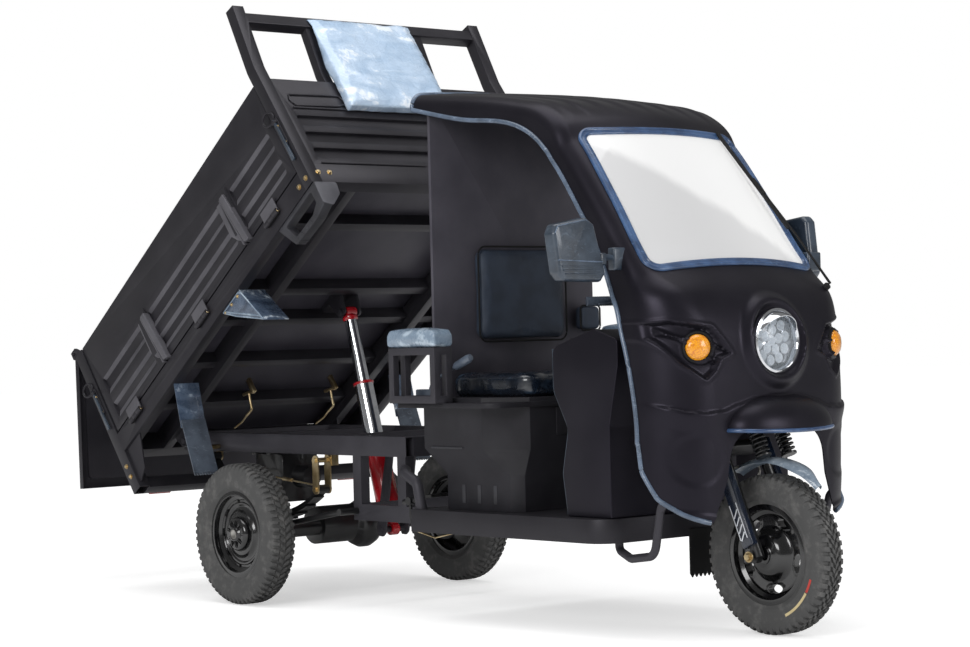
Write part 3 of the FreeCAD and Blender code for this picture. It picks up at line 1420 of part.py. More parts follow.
def main():
    os.makedirs("parts", exist_ok=True)
    for name, make in nodes.items():
        shape = make()
        shape.translate(vec(-middle_station, -middle_line, 0))
        shape.exportStep("parts/" + name + ".step")
        box = shape.BoundBox
        print("%-18s solids %d valid %s x %.0f..%.0f y %.0f..%.0f z %.0f..%.0f litres %.2f" % (
            name, len(shape.Solids), shape.isValid(), box.XMin, box.XMax, box.YMin, box.YMax, box.ZMin,
            box.ZMax,
            shape.Volume / 1e6))
    print("middle station %.2f, middle line %.2f" % (middle_station, middle_line))
    print("tailgate hangs %.3f degrees from closed" % tailgate_hang())
    print("hoist stroke a stage %.3f, lengths %.2f and %.2f" % (
        hoist_stroke, hoist_raised_length, hoist_lowered_length))


main()
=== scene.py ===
import json
import math

import bmesh
import bpy
from mathutils import Matrix, Vector, noise
from mathutils.bvhtree import BVHTree


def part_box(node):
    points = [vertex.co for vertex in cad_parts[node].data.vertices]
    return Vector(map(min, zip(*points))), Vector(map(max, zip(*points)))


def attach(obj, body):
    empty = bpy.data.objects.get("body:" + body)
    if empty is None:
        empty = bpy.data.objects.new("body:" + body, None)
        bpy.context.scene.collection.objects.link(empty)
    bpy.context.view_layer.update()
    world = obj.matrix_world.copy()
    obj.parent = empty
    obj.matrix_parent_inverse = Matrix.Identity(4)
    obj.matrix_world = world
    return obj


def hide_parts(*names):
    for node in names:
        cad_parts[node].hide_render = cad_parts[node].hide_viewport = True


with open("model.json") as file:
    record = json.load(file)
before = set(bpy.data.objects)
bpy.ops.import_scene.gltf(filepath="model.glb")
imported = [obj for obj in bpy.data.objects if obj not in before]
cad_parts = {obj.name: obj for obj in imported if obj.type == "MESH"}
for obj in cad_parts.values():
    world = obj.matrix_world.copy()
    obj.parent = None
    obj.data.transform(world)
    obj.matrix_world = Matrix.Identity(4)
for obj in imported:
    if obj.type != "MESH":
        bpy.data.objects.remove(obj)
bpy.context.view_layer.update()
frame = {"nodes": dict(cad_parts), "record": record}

nodes = frame["nodes"]
record = frame["record"]
scene = bpy.context.scene
joints = {joint["name"]: joint for joint in record["behaviour"]["joints"]}
slotOf = {part["node"]: part["material_slot"] for part in record["subparts"]}
bodyOf = {node: body for body, names in record["behaviour"]["bodies"].items() for node in names}


# Places. The workshop measures forward of the rear axle, the frame from the middle of the vehicle.

def middleOf(node):
    low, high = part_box(node)
    return (Vector(low) + Vector(high)) / 2


rearAxle = middleOf("rear_rim_right").x
centreLine = (middleOf("rear_rim_right").y + middleOf("rear_rim_left").y) / 2
tilt = math.radians(joints["bed_tilt"]["range_deg"][1])
bedPivot = Vector(joints["bed_tilt"]["pos_m"])
bedTurn = Matrix.Rotation(-tilt, 4, "Y")
bedPlace = Matrix.Translation(bedPivot) @ bedTurn @ Matrix.Translation((-0.159, 0, 0.040))


def at(x, y, z):    # millimetres forward of the rear axle, to the left and up
    return Vector((x / 1000 + rearAxle, y / 1000 + centreLine, z / 1000))


def bedAt(along, y, height):    # millimetres in the bed's own frame, from its rear end and its sill
    return bedPlace @ Vector((along / 1000, y / 1000, height / 1000))


def smoothStep(low, high, value):
    share = min(max((value - low) / (high - low), 0), 1)
    return share * share * (3 - 2 * share)


# Shader maths

class Signal:    # a socket that can be used in plain arithmetic
    def __init__(self, finish, socket):
        self.finish = finish
        self.socket = socket

    def sum(self, operation, first, second=0.0):
        return self.finish.node("ShaderNodeMath", {"operation": operation}, {0: first, 1: second})

    def __add__(self, other):
        return self.sum("ADD", self, other)

    def __mul__(self, other):
        return self.sum("MULTIPLY", self, other)

    __radd__ = __add__
    __rmul__ = __mul__

    def wave(self):
        return self.sum("SINE", self)

    def ramp(self, low, high):    # 0 at low, 1 at high, smooth between
        return self.finish.node("ShaderNodeMapRange", {"interpolation_type": "SMOOTHSTEP"},
                                {"Value": self, "From Min": low, "From Max": high})


class Finish:    # one material, built around its Principled shader
    def __init__(self, name, **sockets):
        self.material = bpy.data.materials.new(name)
        self.material.use_nodes = True
        self.tree = self.material.node_tree
        self.shader = self.tree.nodes["Principled BSDF"]
        self.place = self.node("ShaderNodeTexCoord", output="Object")
        self.surface(**sockets)

    def node(self, kind, settings=None, links=None, output=0):
        made = self.tree.nodes.new(kind)
        for key, value in (settings or {}).items():
            if key == "stops":
                while len(made.color_ramp.elements) < len(value):
                    made.color_ramp.elements.new(0.5)
                for element, (position, tone) in zip(made.color_ramp.elements, value):
                    element.position = position
                    element.color = (*tone, 1)
            else:
                setattr(made, key, value)
        for key, value in (links or {}).items():
            self.feed(made.inputs[key], value)
        return Signal(self, made.outputs[output])

    def feed(self, socket, value):
        if isinstance(value, Signal):
            self.tree.links.new(value.socket, socket)
        elif isinstance(value, tuple) and len(value) == 3 and len(socket.default_value) == 4:
            socket.default_value = (*value, 1)
        else:
            socket.default_value = value

    def surface(self, **sockets):
        for key, value in sockets.items():
            words = "".join(" " + letter if letter.isupper() else letter for letter in key).title()
            words = {"Gloss": "Specular IOR Level", "Ior": "IOR"}.get(words, words)
            self.feed(self.shader.inputs[words], value)
        return self

    def axis(self, name):
        return self.node("ShaderNodeSeparateXYZ", None, {0: self.place}, name)

    def stretched(self, x, y, z):
        return self.node("ShaderNodeMapping", None, {"Vector": self.place, "Scale": (x, y, z)})

    def cloud(self, scale, detail=3.0, place=None, roughness=0.5, distortion=0.0):
        return self.node("ShaderNodeTexNoise", None, {
            "Vector": place or self.place, "Scale": scale, "Detail": detail, "Roughness": roughness,
            "Distortion": distortion})

    def cells(self, scale, place=None, feature="F1"):
        return self.node("ShaderNodeTexVoronoi", {"feature": feature},
                         {"Vector": place or self.place, "Scale": scale})

    def blend(self, amount, first, second):
        made = self.tree.nodes.new("ShaderNodeMix")
        made.data_type = "RGBA"
        self.feed(made.inputs["Factor"], amount)
        self.feed(made.inputs[6], first)
        self.feed(made.inputs[7], second)
        return Signal(self, made.outputs[2])

    def relief(self, height, distance, strength=1.0, over=None):
        links = {"Height": height, "Distance": distance, "Strength": strength}
        if over is not None:
            links["Normal"] = over
        self.surface(normal=self.node("ShaderNodeBump", None, links))
        return self


def tone(red, green, blue):    # a colour written as in the photograph, 0 to 255
    def part(value):
        value /= 255
        return value / 12.92 if value <= 0.04045 else ((value + 0.055) / 1.055) ** 2.4
    return part(red), part(green), part(blue)


# Finishes

def cabSkinFinish(name):
    finish = Finish(name, gloss=0.28, specularTint=tone(236, 228, 255))
    grain = finish.cells(900)
    drift = finish.cloud(5, 2)
    finish.surface(baseColor=finish.blend(drift.ramp(0.35, 0.7), tone(18, 17, 22), tone(24, 23, 28)),
                   roughness=0.30 + drift * 0.06 + grain * 0.05)
    return finish.relief(grain, 0.00012, 0.5)


def powderFinish(name, dark, light, rough=0.46):    # satin powder coat with a little orange peel and dust
    finish = Finish(name, gloss=0.5, specularTint=tone(248, 245, 255))
    peel = finish.cloud(420, 2)
    drift = finish.cloud(7, 4)
    dust = finish.cloud(60, 6, roughness=0.7).ramp(0.62, 0.8)
    base = finish.blend(drift.ramp(0.3, 0.75), dark, light)
    finish.surface(baseColor=finish.blend(dust * 0.12, base, tone(92, 90, 88)),
                   roughness=rough + drift * 0.1 + dust * 0.1)
    return finish.relief(peel, 0.0002, 0.35)


def mouldedFinish(name, dark, light, rough=0.5):    # injection moulding with a leather-like grain
    finish = Finish(name, gloss=0.3)
    grain = finish.cells(520)
    drift = finish.cloud(9, 3)
    finish.surface(baseColor=finish.blend(drift.ramp(0.35, 0.7), dark, light), roughness=rough + grain * 0.12)
    return finish.relief(grain, 0.0002, 0.6)


def filmedFinish(name, dark, light, paintedHighlightTone, rough=0.24):    # rubber or moulding still in its bluish film, with painted highlights along its creases
    finish = Finish(name, coatWeight=0.6, coatRoughness=0.15)
    drift = finish.cloud(14, 4)
    crease = finish.cloud(34, 5, finish.stretched(1, 1, 2.4), 0.6, 1.2)
    paintedHighlightMask = crease.ramp(0.56, 0.72)
    base = finish.blend(drift.ramp(0.3, 0.7), dark, light)
    finish.surface(baseColor=finish.blend(paintedHighlightMask * 0.5, base, paintedHighlightTone), roughness=rough + drift * 0.15)
    return finish.relief(crease, 0.0016, 0.5)


def crumpledFilmFinish(name, dark, light, paintedHighlightTone, scale):    # loose clear film in folds over foam, with painted highlights on the folds and its base colour lighter and darker with the folds as painted light and shade
    finish = Finish(name, coatWeight=0.9, coatRoughness=0.08)
    folds = finish.cloud(scale, 4, finish.stretched(1, 0.55, 1.4), 0.5, 1.1)
    fine = finish.cloud(scale * 5, 3, None, 0.5, 0.8)
    paintedHighlightMask = (folds + fine * 0.3).ramp(0.74, 0.86)
    base = finish.blend(folds.ramp(0.3, 0.65), dark, light)
    finish.surface(baseColor=finish.blend(paintedHighlightMask, base, paintedHighlightTone), roughness=0.18 + fine * 0.2)
    return finish.relief(folds + fine * 0.2, 0.012, 0.7)


def metalFinish(name, dark, light, rough, grainScale=160.0, grainDepth=0.00015):
    finish = Finish(name, metallic=1.0)
    drift = finish.cloud(24, 4)
    grain = finish.cloud(grainScale, 2)
    finish.surface(baseColor=finish.blend(drift.ramp(0.3, 0.7), dark, light), roughness=rough + drift * 0.08)
    return finish.relief(grain, grainDepth, 0.5)


def glossFinish(name, dark, light, rough=0.22, coat=0.8):    # sprayed gloss paint
    finish = Finish(name, coatWeight=coat, coatRoughness=0.08)
    drift = finish.cloud(8, 3)
    peel = finish.cloud(220, 2)
    finish.surface(baseColor=finish.blend(drift.ramp(0.3, 0.7), dark, light), roughness=rough + drift * 0.1)
    return finish.relief(peel, 0.00015, 0.4)


def tyreFinish(name):
    finish = Finish(name, gloss=0.35)
    grain = finish.cloud(300, 4, None, 0.7)
    dust = finish.cloud(26, 6, None, 0.65)
    finish.surface(baseColor=finish.blend(dust.ramp(0.45, 0.75), tone(78, 78, 78), tone(104, 103, 102)),
                   roughness=0.62 + dust * 0.16)
    return finish.relief(grain, 0.0005, 0.6)


def vinylFinish(name):    # woven-look vinyl, navy
    finish = Finish(name, gloss=0.4)
    across = (finish.axis("Y") * 2100).wave()
    down = (finish.axis("Z") * 2100).wave()
    weave = across * down
    drift = finish.cloud(12, 4)
    base = finish.blend(drift.ramp(0.3, 0.7), tone(48, 56, 70), tone(60, 70, 86))
    finish.surface(baseColor=finish.blend(weave.ramp(-1, 1) * 0.35, base, tone(36, 43, 54)),
                   roughness=0.5 + drift * 0.1)
    return finish.relief(weave, 0.0003, 0.6)


def paneFinish(name):    # clear sheet behind a milky transit film, with a painted reflection and a painted glow
    finish = Finish(name, coatWeight=1.0, coatRoughness=0.03, transmissionWeight=0.0)
    drift = finish.cloud(3, 5, None, 0.6, 0.6)
    # painted reflection: the lighter diagonal band stands for light reflected in the screen
    paintedReflectionBand = finish.axis("Y") * 0.62 + finish.axis("Z") * 1.0 + drift * 0.1
    light = paintedReflectionBand.ramp(1.50, 1.56)
    # painted glow: the emission, rising towards the vehicle's left side, brightens the screen as light would
    finish.surface(baseColor=finish.blend(light, tone(206, 206, 207), tone(236, 236, 236)), roughness=0.3,
                   emissionColor=finish.blend(finish.axis("Y").ramp(-0.1, 0.6), (0.0, 0.0, 0.0),
                                              (1.0, 1.0, 0.99)), emissionStrength=0.3, alpha=0.965)
    return finish


def lensFinish(name, dark, light, ribs, glow=0.0):
    finish = Finish(name, coatWeight=1.0, coatRoughness=0.03)
    facet = finish.cells(ribs)
    finish.surface(baseColor=finish.blend(facet, light, dark), roughness=0.16 + facet * 0.15,
                   emissionColor=light, emissionStrength=glow)
    return finish.relief(facet, 0.0016, 0.7)


def glassFinish(name):
    finish = Finish(name, alpha=0.14, coatWeight=1.0)
    haze = finish.cloud(40, 3)
    finish.surface(baseColor=tone(226, 236, 244), roughness=0.03 + haze * 0.04)
    return finish.relief(finish.cells(120), 0.0004, 0.4)


finishKinds = {    # what makes each finish, and its tones and numbers
    "cabSkin": (cabSkinFinish,),
    "framePowder": (powderFinish, (46, 45, 50), (56, 55, 60)),
    "sillPowder": (powderFinish, (26, 25, 29), (34, 33, 37)),
    "bedPowder": (powderFinish, (30, 29, 33), (40, 39, 43), 0.34),
    # a lighter copy of the bed's powder coat: painted highlight on the gates' ribs and trough slopes
    "gateSheen": (powderFinish, (76, 75, 80), (94, 93, 98), 0.34),
    # a lighter copy of the powder coat: painted light on the underside of the bed floor
    "underPowder": (powderFinish, (54, 52, 60), (66, 64, 72), 0.36),
    # a lighter copy of the powder coat: painted light on the cab's rear wall, which sits in shade
    "innerPowder": (powderFinish, (66, 64, 72), (78, 76, 84), 0.5),
    "axleBlack": (glossFinish, (14, 14, 16), (22, 22, 24), 0.34, 0.3),
    "moulding": (mouldedFinish, (34, 33, 38), (42, 41, 46)),
    "loopGrey": (mouldedFinish, (52, 52, 56), (66, 66, 71), 0.4),
    "loopLight": (mouldedFinish, (78, 78, 84), (94, 94, 100), 0.4),
    # the third tone of each film finish is the colour of its painted highlights
    "guardFilm": (crumpledFilmFinish, (54, 68, 88), (92, 108, 130), (206, 218, 230), 11),
    "filmChrome": (filmedFinish, (96, 110, 126), (150, 164, 178), (226, 234, 240), 0.12),
    "mirrorBlue": (filmedFinish, (38, 48, 60), (58, 70, 84), (92, 106, 122)),
    "edgeTrim": (filmedFinish, (70, 84, 102), (98, 114, 136), (160, 176, 196)),
    "gasketBlue": (filmedFinish, (38, 62, 98), (62, 92, 134), (110, 140, 176)),
    "rubber": (mouldedFinish, (17, 17, 18), (24, 24, 25), 0.6),
    "filmedRubber": (filmedFinish, (56, 64, 76), (84, 94, 108), (130, 142, 156)),
    "pane": (paneFinish,),
    "vinyl": (vinylFinish,),
    "padFilm": (crumpledFilmFinish, (160, 184, 210), (186, 206, 228), (230, 238, 247), 8),
    "armFilm": (crumpledFilmFinish, (104, 122, 142), (132, 150, 168), (176, 192, 206), 9),
    "seatFilm": (crumpledFilmFinish, (12, 17, 25), (22, 31, 44), (62, 84, 106), 5),
    "zincGold": (metalFinish, (178, 154, 112), (226, 206, 164), 0.28),
    "bareSteel": (metalFinish, (150, 148, 144), (192, 190, 184), 0.3),
    "chrome": (metalFinish, (206, 208, 212), (232, 234, 238), 0.06, 90, 0.00004),
    "hoistRed": (glossFinish, (166, 14, 26), (200, 24, 38)),
    "tyre": (tyreFinish,),
    "wheelGloss": (glossFinish, (9, 9, 10), (15, 15, 17), 0.16, 1.0),
    "amber": (lensFinish, (196, 104, 4), (255, 178, 24), 170, 0.03),
    "redLens": (lensFinish, (110, 6, 8), (196, 22, 22), 300),
    "bowl": (glossFinish, (176, 184, 194), (214, 220, 228), 0.12, 1.0),
    "clearLens": (glassFinish,),
    "forkNavy": (glossFinish, (16, 24, 38), (24, 34, 52), 0.2, 0.9),
    "decalWhite": (glossFinish, (214, 218, 224), (236, 238, 242), 0.3, 0.4),
    "decalRed": (glossFinish, (170, 40, 34), (196, 60, 48), 0.4, 0.2),
    "decalSand": (glossFinish, (196, 176, 124), (214, 196, 150), 0.4, 0.2),
}
finishes = {}
for name, (make, *facts) in finishKinds.items():
    facts = [tone(*fact) if isinstance(fact, tuple) else fact for fact in facts]
    finishes[name] = make(name, *facts)
print("finishes ready:", len(finishes))

finishedNodes = {
    "cabSkin": "cab_shell",
    # the rear wall's lighter powder is painted light
    "innerPowder": "cab_rear_wall",
    "framePowder": "chassis_frame armrest_frames",
    "sillPowder": "cab_floor",
    "bedPowder": "bed_frame headboard headboard_rack side_gate_right "
                 "side_gate_left tailgate gate_latches",
    # the bed floor's lighter powder is painted light on its underside
    "underPowder": "bed_floor",
    "guardFilm": "mudguards",
    "filmedRubber": "mudflaps",
    "axleBlack": "rear_axle leaf_springs radius_rods power_pack fork front_shocks handlebar",
    "moulding": "seat_base leg_shield battery",
    "mirrorBlue": "mirrors",
    "rubber": "wiper front_mudflap",
    "pane": "windshield",
    "gasketBlue": "windshield_gasket",
    "loopGrey": "corner_handles",
    "zincGold": "spring_shackles hold_down_hooks",
    "chrome": "front_fender hoist_stage_1 hoist_stage_2",
    "hoistRed": "hoist_barrel",
    "tyre": "front_tyre rear_tyre_right rear_tyre_left",
    "wheelGloss": "front_rim rear_rim_right rear_rim_left",
    "amber": "turn_signals",
    "redLens": "tail_lamps",
    "bowl": "headlamp",
    "seatFilm": "seat_cushion",
    "vinyl": "backrest",
    "armFilm": "armrest_pads",
    "padFilm": "rack_pad",
}
nodeFinish = {node: finish for finish, names in finishedNodes.items() for node in names.split()}
for name, node in nodes.items():
    node.data.materials.clear()
    node.data.materials.append(finishes[nodeFinish[name]].material)


# Pieces

sides = ((-1, "Right"), (1, "Left"))


# a form is a mesh, a bmesh or a list of them
def addPiece(name, form, finish, body, slotName, sharp, *stands):
    if isinstance(form, list):
        mesh = joinedMesh(name, form)
    elif isinstance(form, bmesh.types.BMesh):
        mesh = meshOf(form, name)
    else:
        mesh = form
    mesh.materials.clear()
    mesh.materials.append(finishes[finish].material)
    mesh.shade_smooth()
    mesh.set_sharp_from_angle(angle=math.radians(sharp))
    piece = bpy.data.objects.new(name, mesh)
    scene.collection.objects.link(piece)
    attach(piece, body)
    if stands:
        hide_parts(*stands)
    return piece


def meshOf(bm, name, flip=False):
    bmesh.ops.recalc_face_normals(bm, faces=bm.faces)
    if flip:
        bmesh.ops.reverse_faces(bm, faces=bm.faces)
    mesh = bpy.data.meshes.new(name)
    bm.to_mesh(mesh)
    bm.free()
    return mesh


def bakedMesh(obj):    # the mesh that an object's modifiers give, with the object itself taken away
    mesh = bpy.data.meshes.new_from_object(obj.evaluated_get(bpy.context.evaluated_depsgraph_get()))
    bpy.data.objects.remove(obj)
    return mesh


def workObject(mesh):
    obj = bpy.data.objects.new("work", mesh)
    scene.collection.objects.link(obj)
    return obj


def modified(mesh, kind, **settings):    # the mesh after one modifier
    obj = workObject(mesh)
    modifier = obj.modifiers.new(kind.lower(), kind)
    for key, value in settings.items():
        setattr(modifier, key, value)
    return bakedMesh(obj)


def solidified(mesh, thickness, offset=-1.0, even=False):
    return modified(mesh, "SOLIDIFY", thickness=thickness, offset=offset, use_quality_normals=even)


def drilled(mesh, cutters):
    knife = workObject(joinedMesh("knife", cutters))
    mesh = modified(mesh, "BOOLEAN", operation="DIFFERENCE", solver="EXACT", object=knife)
    bpy.data.objects.remove(knife)
    return mesh


def mappedGrid(countU, countV, place, closed=False):
    bm = bmesh.new()
    bmesh.ops.create_grid(bm, x_segments=countU, y_segments=countV, size=1)
    for vert in bm.verts:
        vert.co = place((vert.co.x + 1) / 2, (vert.co.y + 1) / 2)
    if closed:
        bmesh.ops.remove_doubles(bm, verts=bm.verts, dist=1e-5)
    return bm


def roundedPath(corners, radii, steps=6, closed=True):    # a polyline with its corners turned into arcs
    points = []
    count = len(corners)
    for i, corner in enumerate(corners):
        corner = Vector(corner)
        radius = radii[i] if isinstance(radii, (list, tuple)) else radii
        if radius <= 0 or (not closed and i in (0, count - 1)):
            points.append(corner)
            continue
        back = (Vector(corners[i - 1]) - corner).normalized()
        ahead = (Vector(corners[(i + 1) % count]) - corner).normalized()
        half = back.angle(ahead) / 2
        middle = corner + (back + ahead).normalized() * (radius / math.sin(half))
        start = corner + back * (radius / math.tan(half)) - middle
        end = corner + ahead * (radius / math.tan(half)) - middle
        for step in range(steps + 1):
            arm = start.lerp(end, step / steps).normalized() * radius
            points.append(middle + arm)
    return points


def rectangle(a0, a1, b0, b1):
    return [(a0, b0), (a1, b0), (a1, b1), (a0, b1)]


def refined(path, step, closed=False):    # the same path in short steps
    points = []
    for a, b in zip(path, path[1:] + path[:closed]):
        count = max(int((b - a).length / step), 1)
        points += [a.lerp(b, k / count) for k in range(count)]
    return points


def sweptTube(points, radius, sides=10, closed=False, flat=1.0, up=None):    # up holds the flat side level
    points = [Vector(point) for point in points]
    count = len(points)
    if up is None:
        up = [Vector((0, 0, 1))] * count
    total = count if closed else count - 1

    def place(u, v):
        step = min(int(round(u * total)), total)
        i = step % count
        before = points[i - 1] if closed or i > 0 else points[i]
        after = points[(i + 1) % count] if closed or i < count - 1 else points[i]
        along = (after - before).normalized()
        guide = up[i] if isinstance(up, list) else up
        if abs(along.dot(guide.normalized())) > 0.97:
            guide = Vector((0, 1, 0.2))
        side = along.cross(guide).normalized()
        lift = side.cross(along).normalized()
        turn = 2 * math.pi * v
        size = radius(step / total) if callable(radius) else radius
        return points[i] + (side * math.cos(turn) + lift * math.sin(turn) * flat) * size
    bm = mappedGrid(total, sides, place, True)
    if not closed:
        bmesh.ops.holes_fill(bm, edges=[edge for edge in bm.edges if edge.is_boundary], sides=0)
    return bm


def joinedMesh(name, parts):    # several bmeshes as one mesh
    whole = bmesh.new()
    for part in parts:
        mesh = meshOf(part, "part")
        whole.from_mesh(mesh)
        bpy.data.meshes.remove(mesh)
    mesh = bpy.data.meshes.new(name)
    whole.to_mesh(mesh)
    whole.free()
    return mesh


# an outline with its thickness; place turns (a, b, depth) into a point
def prism(outline, place, low, high):
    low, high = sorted((low, high))
    bm = bmesh.new()
    verts = [bm.verts.new(place(point[0], point[1], low)) for point in outline]
    face = bm.faces.new(verts)
    shift = place(0, 0, high) - place(0, 0, low)
    pushed = bmesh.ops.extrude_face_region(bm, geom=[face])
    bmesh.ops.translate(bm, verts=[item for item in pushed["geom"] if isinstance(item, bmesh.types.BMVert)],
                        vec=shift)
    return bm


def lathe(profile, centre, axis, steps=64):    # profile points are (along the axis, radius)
    axis = Vector(axis).normalized()
    side = axis.orthogonal().normalized()
    bm = bmesh.new()
    verts = [bm.verts.new(centre + axis * a + side * r) for a, r in profile]
    edges = [bm.edges.new(pair) for pair in zip(verts, verts[1:])]
    bmesh.ops.spin(bm, geom=verts + edges, cent=centre, axis=axis, angle=2 * math.pi, steps=steps,
                   use_merge=True)
    bmesh.ops.remove_doubles(bm, verts=bm.verts, dist=1e-5)
    return bm


def roller(low, high, radius, centre, axis, steps):    # a plain cylinder from low to high along its axis
    return lathe([(low, 0), (low, radius), (high, radius), (high, 0)], centre, axis, steps)


def softBlock(low, high, width, segments=3):    # a box with rounded edges
    bm = bmesh.new()
    bmesh.ops.create_cube(bm, size=1)
    low, high = [Vector([pick(pair) for pair in zip(low, high)]) for pick in (min, max)]
    middle, size = (low + high) / 2, high - low
    for vert in bm.verts:
        vert.co = Vector(middle[i] + vert.co[i] * size[i] for i in range(3))
    bmesh.ops.bevel(bm, geom=bm.edges[:], offset=width, segments=segments, profile=0.5, affect="EDGES",
                    material=-1)
    return bm


def moved(bm, matrix):
    bmesh.ops.transform(bm, matrix=matrix, verts=bm.verts)
    return bm


# Frame tubes and sheets get the small radius of a bent or welded edge

roundedNodes = {"chassis_frame": 0.0012, "cab_floor": 0.0015, "armrest_frames": 0.0012, "bed_frame": 0.0012,
                "bed_floor": 0.001, "headboard": 0.0012, "headboard_rack": 0.0014, "side_gate_right": 0.0012,
                "side_gate_left": 0.0012, "tailgate": 0.0012, "seat_base": 0.005, "cab_rear_wall": 0.0012,
                "power_pack": 0.003, "corner_handles": 0.003, "rear_axle": 0.002, "mudguards": 0.0006,
                "battery": 0.004}


def roundNode(name, width):
    bm = bmesh.new()
    bm.from_mesh(nodes[name].data)
    bmesh.ops.remove_doubles(bm, verts=bm.verts, dist=2e-5)
    bmesh.ops.dissolve_limit(bm, angle_limit=math.radians(0.6), verts=bm.verts, edges=bm.edges)
    mesh = bpy.data.meshes.new(name)
    bm.to_mesh(mesh)
    bm.free()
    mesh = modified(mesh, "BEVEL", width=width, segments=2, limit_method="ANGLE",
                    angle_limit=math.radians(40))
    words = name.split("_")
    plain = words[0] + "".join(word.title() for word in words[1:])
    addPiece(plain + "Edged", mesh, nodeFinish[name], bodyOf[name], slotOf[name], 32, name)


for name, width in roundedNodes.items():
    roundNode(name, width)
print("edges softened on", len(roundedNodes), "nodes")


# The cab's skin, smooth through the same stations as the frame's own

cab = {
    "stations": (    # x, z, way inwards, depth, half width, corner radius, crown
        (942, 1891, -90, 69, 420, 48, 4), (1210, 1865, -88, 100, 424, 52, 4),
        (1478, 1831, -84, 106, 426, 56, 5),
        (1635, 1798, -100, 134, 428, 60, 6), (1738, 1752, -120, 150, 430, 60, 12),
        (1806, 1683, -138, 150, 430, 60, 17), (1960, 1476, -142.5, 150, 432, 60, 15),
        (2142, 1222, -153, 192, 438, 80, 12.5), (2236, 1125, -170, 240, 445, 140, 9),
        (2281, 1010, -178, 258, 448, 190, 8),
        (2293, 850, -180, 230, 450, 200, 8), (2293, 660, -180, 208, 450, 200, 8),
        (2290, 520, -180, 240, 448, 200, 8), (2284, 372, -180, 240, 440, 200, 8)),
    "gauge": 0.005,
    "roofRows": 60, "paneRows": 16, "noseRows": 176,
    "crownColumns": 76, "cornerColumns": 44, "sideColumns": 9,
    "ribSpacing": 96.0, "ribHeight": 5.0, "ribStart": 985.0, "ribEnd": 1735.0,
    "lamp": (966.0, 109.0), "signal": (322.0, 951.0, 2232.0, 24.0),
    "signalRadius": 43.0,
}
knots = [0.0]
for first, second in zip(cab["stations"], cab["stations"][1:]):
    knots.append(knots[-1] + math.hypot(second[0] - first[0], second[1] - first[1]))


def stationAt(run):    # the stations' numbers, smooth along the profile
    last = len(knots) - 2
    i = next((k for k in range(last) if run < knots[k + 1]), last)
    span = knots[i + 1] - knots[i]
    t = (run - knots[i]) / span

    def slope(k, column):
        if k == 0:
            return (cab["stations"][1][column] - cab["stations"][0][column]) / (knots[1] - knots[0])
        if k == len(knots) - 1:
            return (cab["stations"][k][column] - cab["stations"][k - 1][column]) / (knots[k] - knots[k - 1])
        before = (cab["stations"][k][column] - cab["stations"][k - 1][column]) / (knots[k] - knots[k - 1])
        after = (cab["stations"][k + 1][column] - cab["stations"][k][column]) / (knots[k + 1] - knots[k])
        if column > 1 and before * after <= 0:
            return 0.0
        share = (knots[k] - knots[k - 1]) / (knots[k + 1] - knots[k - 1])
        return before * (1 - share) + after * share
    values = []
    for column in range(7):
        a, b = cab["stations"][i][column], cab["stations"][i + 1][column]
        sa, sb = slope(i, column) * span, slope(i + 1, column) * span
        values.append((2 * t ** 3 - 3 * t ** 2 + 1) * a + (t ** 3 - 2 * t ** 2 + t) * sa
                      + (3 * t ** 2 - 2 * t ** 3) * b + (t ** 3 - t ** 2) * sb)
    return values


def skinPoint(run, across):    # across runs from -1 at the right edge to 1 at the left one
    x, z, direction, depth, half, corner, crown = stationAt(run)
    turn, lean = math.radians(direction), math.radians(crown)
    crownRadius = (half - corner + corner * math.sin(lean)) / math.sin(lean)
    cornerDepth = crownRadius * (1 - math.cos(lean)) + corner * math.cos(lean)
    columns = cab["crownColumns"] / 2 + cab["cornerColumns"] + cab["sideColumns"]
    place = abs(across) * columns
    side = 1 if across >= 0 else -1
    if place <= cab["crownColumns"] / 2:
        angle = lean * place / (cab["crownColumns"] / 2)
        y, inward = crownRadius * math.sin(angle), crownRadius * (1 - math.cos(angle))
    elif place <= cab["crownColumns"] / 2 + cab["cornerColumns"]:
        share = 1 - (place - cab["crownColumns"] / 2) / cab["cornerColumns"]
        angle = (math.pi / 2 - lean) * share
        y, inward = half - corner + corner * math.cos(angle), cornerDepth - corner * math.sin(angle)
    else:
        share = (place - cab["crownColumns"] / 2 - cab["cornerColumns"]) / cab["sideColumns"]
        y, inward = half, cornerDepth + (depth - cornerDepth) * share
    return at(x + math.cos(turn) * inward, side * y, z + math.sin(turn) * inward)


browRecess = [(447, 1031), (404, 1037), (275, 1016), (206, 930), (250, 914), (278, 872), (312, 845),
              (384, 899),
              (444, 985)]    # y and z of the sunk panel round each turn signal
creaseLine = [(450, 774), (414, 760), (373, 746), (319, 740), (248, 745), (197, 762), (113, 782), (41, 790),
              (0, 791)]    # y and z of the crease over the beak


def insideDistance(y, z, outline):    # how far a point is inside an outline, below zero outside
    inside = False
    nearest = 1e9
    for (ay, az), (by, bz) in zip(outline, outline[1:] + outline[:1]):
        if (az > z) != (bz > z) and y < (by - ay) * (z - az) / (bz - az) + ay:
            inside = not inside
        dy, dz = by - ay, bz - az
        t = min(max(((y - ay) * dy + (z - az) * dz) / (dy * dy + dz * dz), 0), 1)
        nearest = min(nearest, math.hypot(y - ay - t * dy, z - az - t * dz))
    return nearest if inside else -nearest


def lineHeight(y, line):
    for (ay, az), (by, bz) in zip(line, line[1:]):
        if by <= y <= ay:
            t = smoothStep(0, 1, (ay - y) / (ay - by)) * 0.35 + (ay - y) / (ay - by) * 0.65
            return az + (bz - az) * t
    return line[0][1] if y > line[0][0] else line[-1][1]


# heights in millimetres of what stands out of the skin or is sunk into it
relief = {"ring": 19, "swell": 8, "rim": 2.6, "sink": 18, "spoke": 12, "boss": 13, "crease": 10, "dish": 3.2,
          "fold": 4}


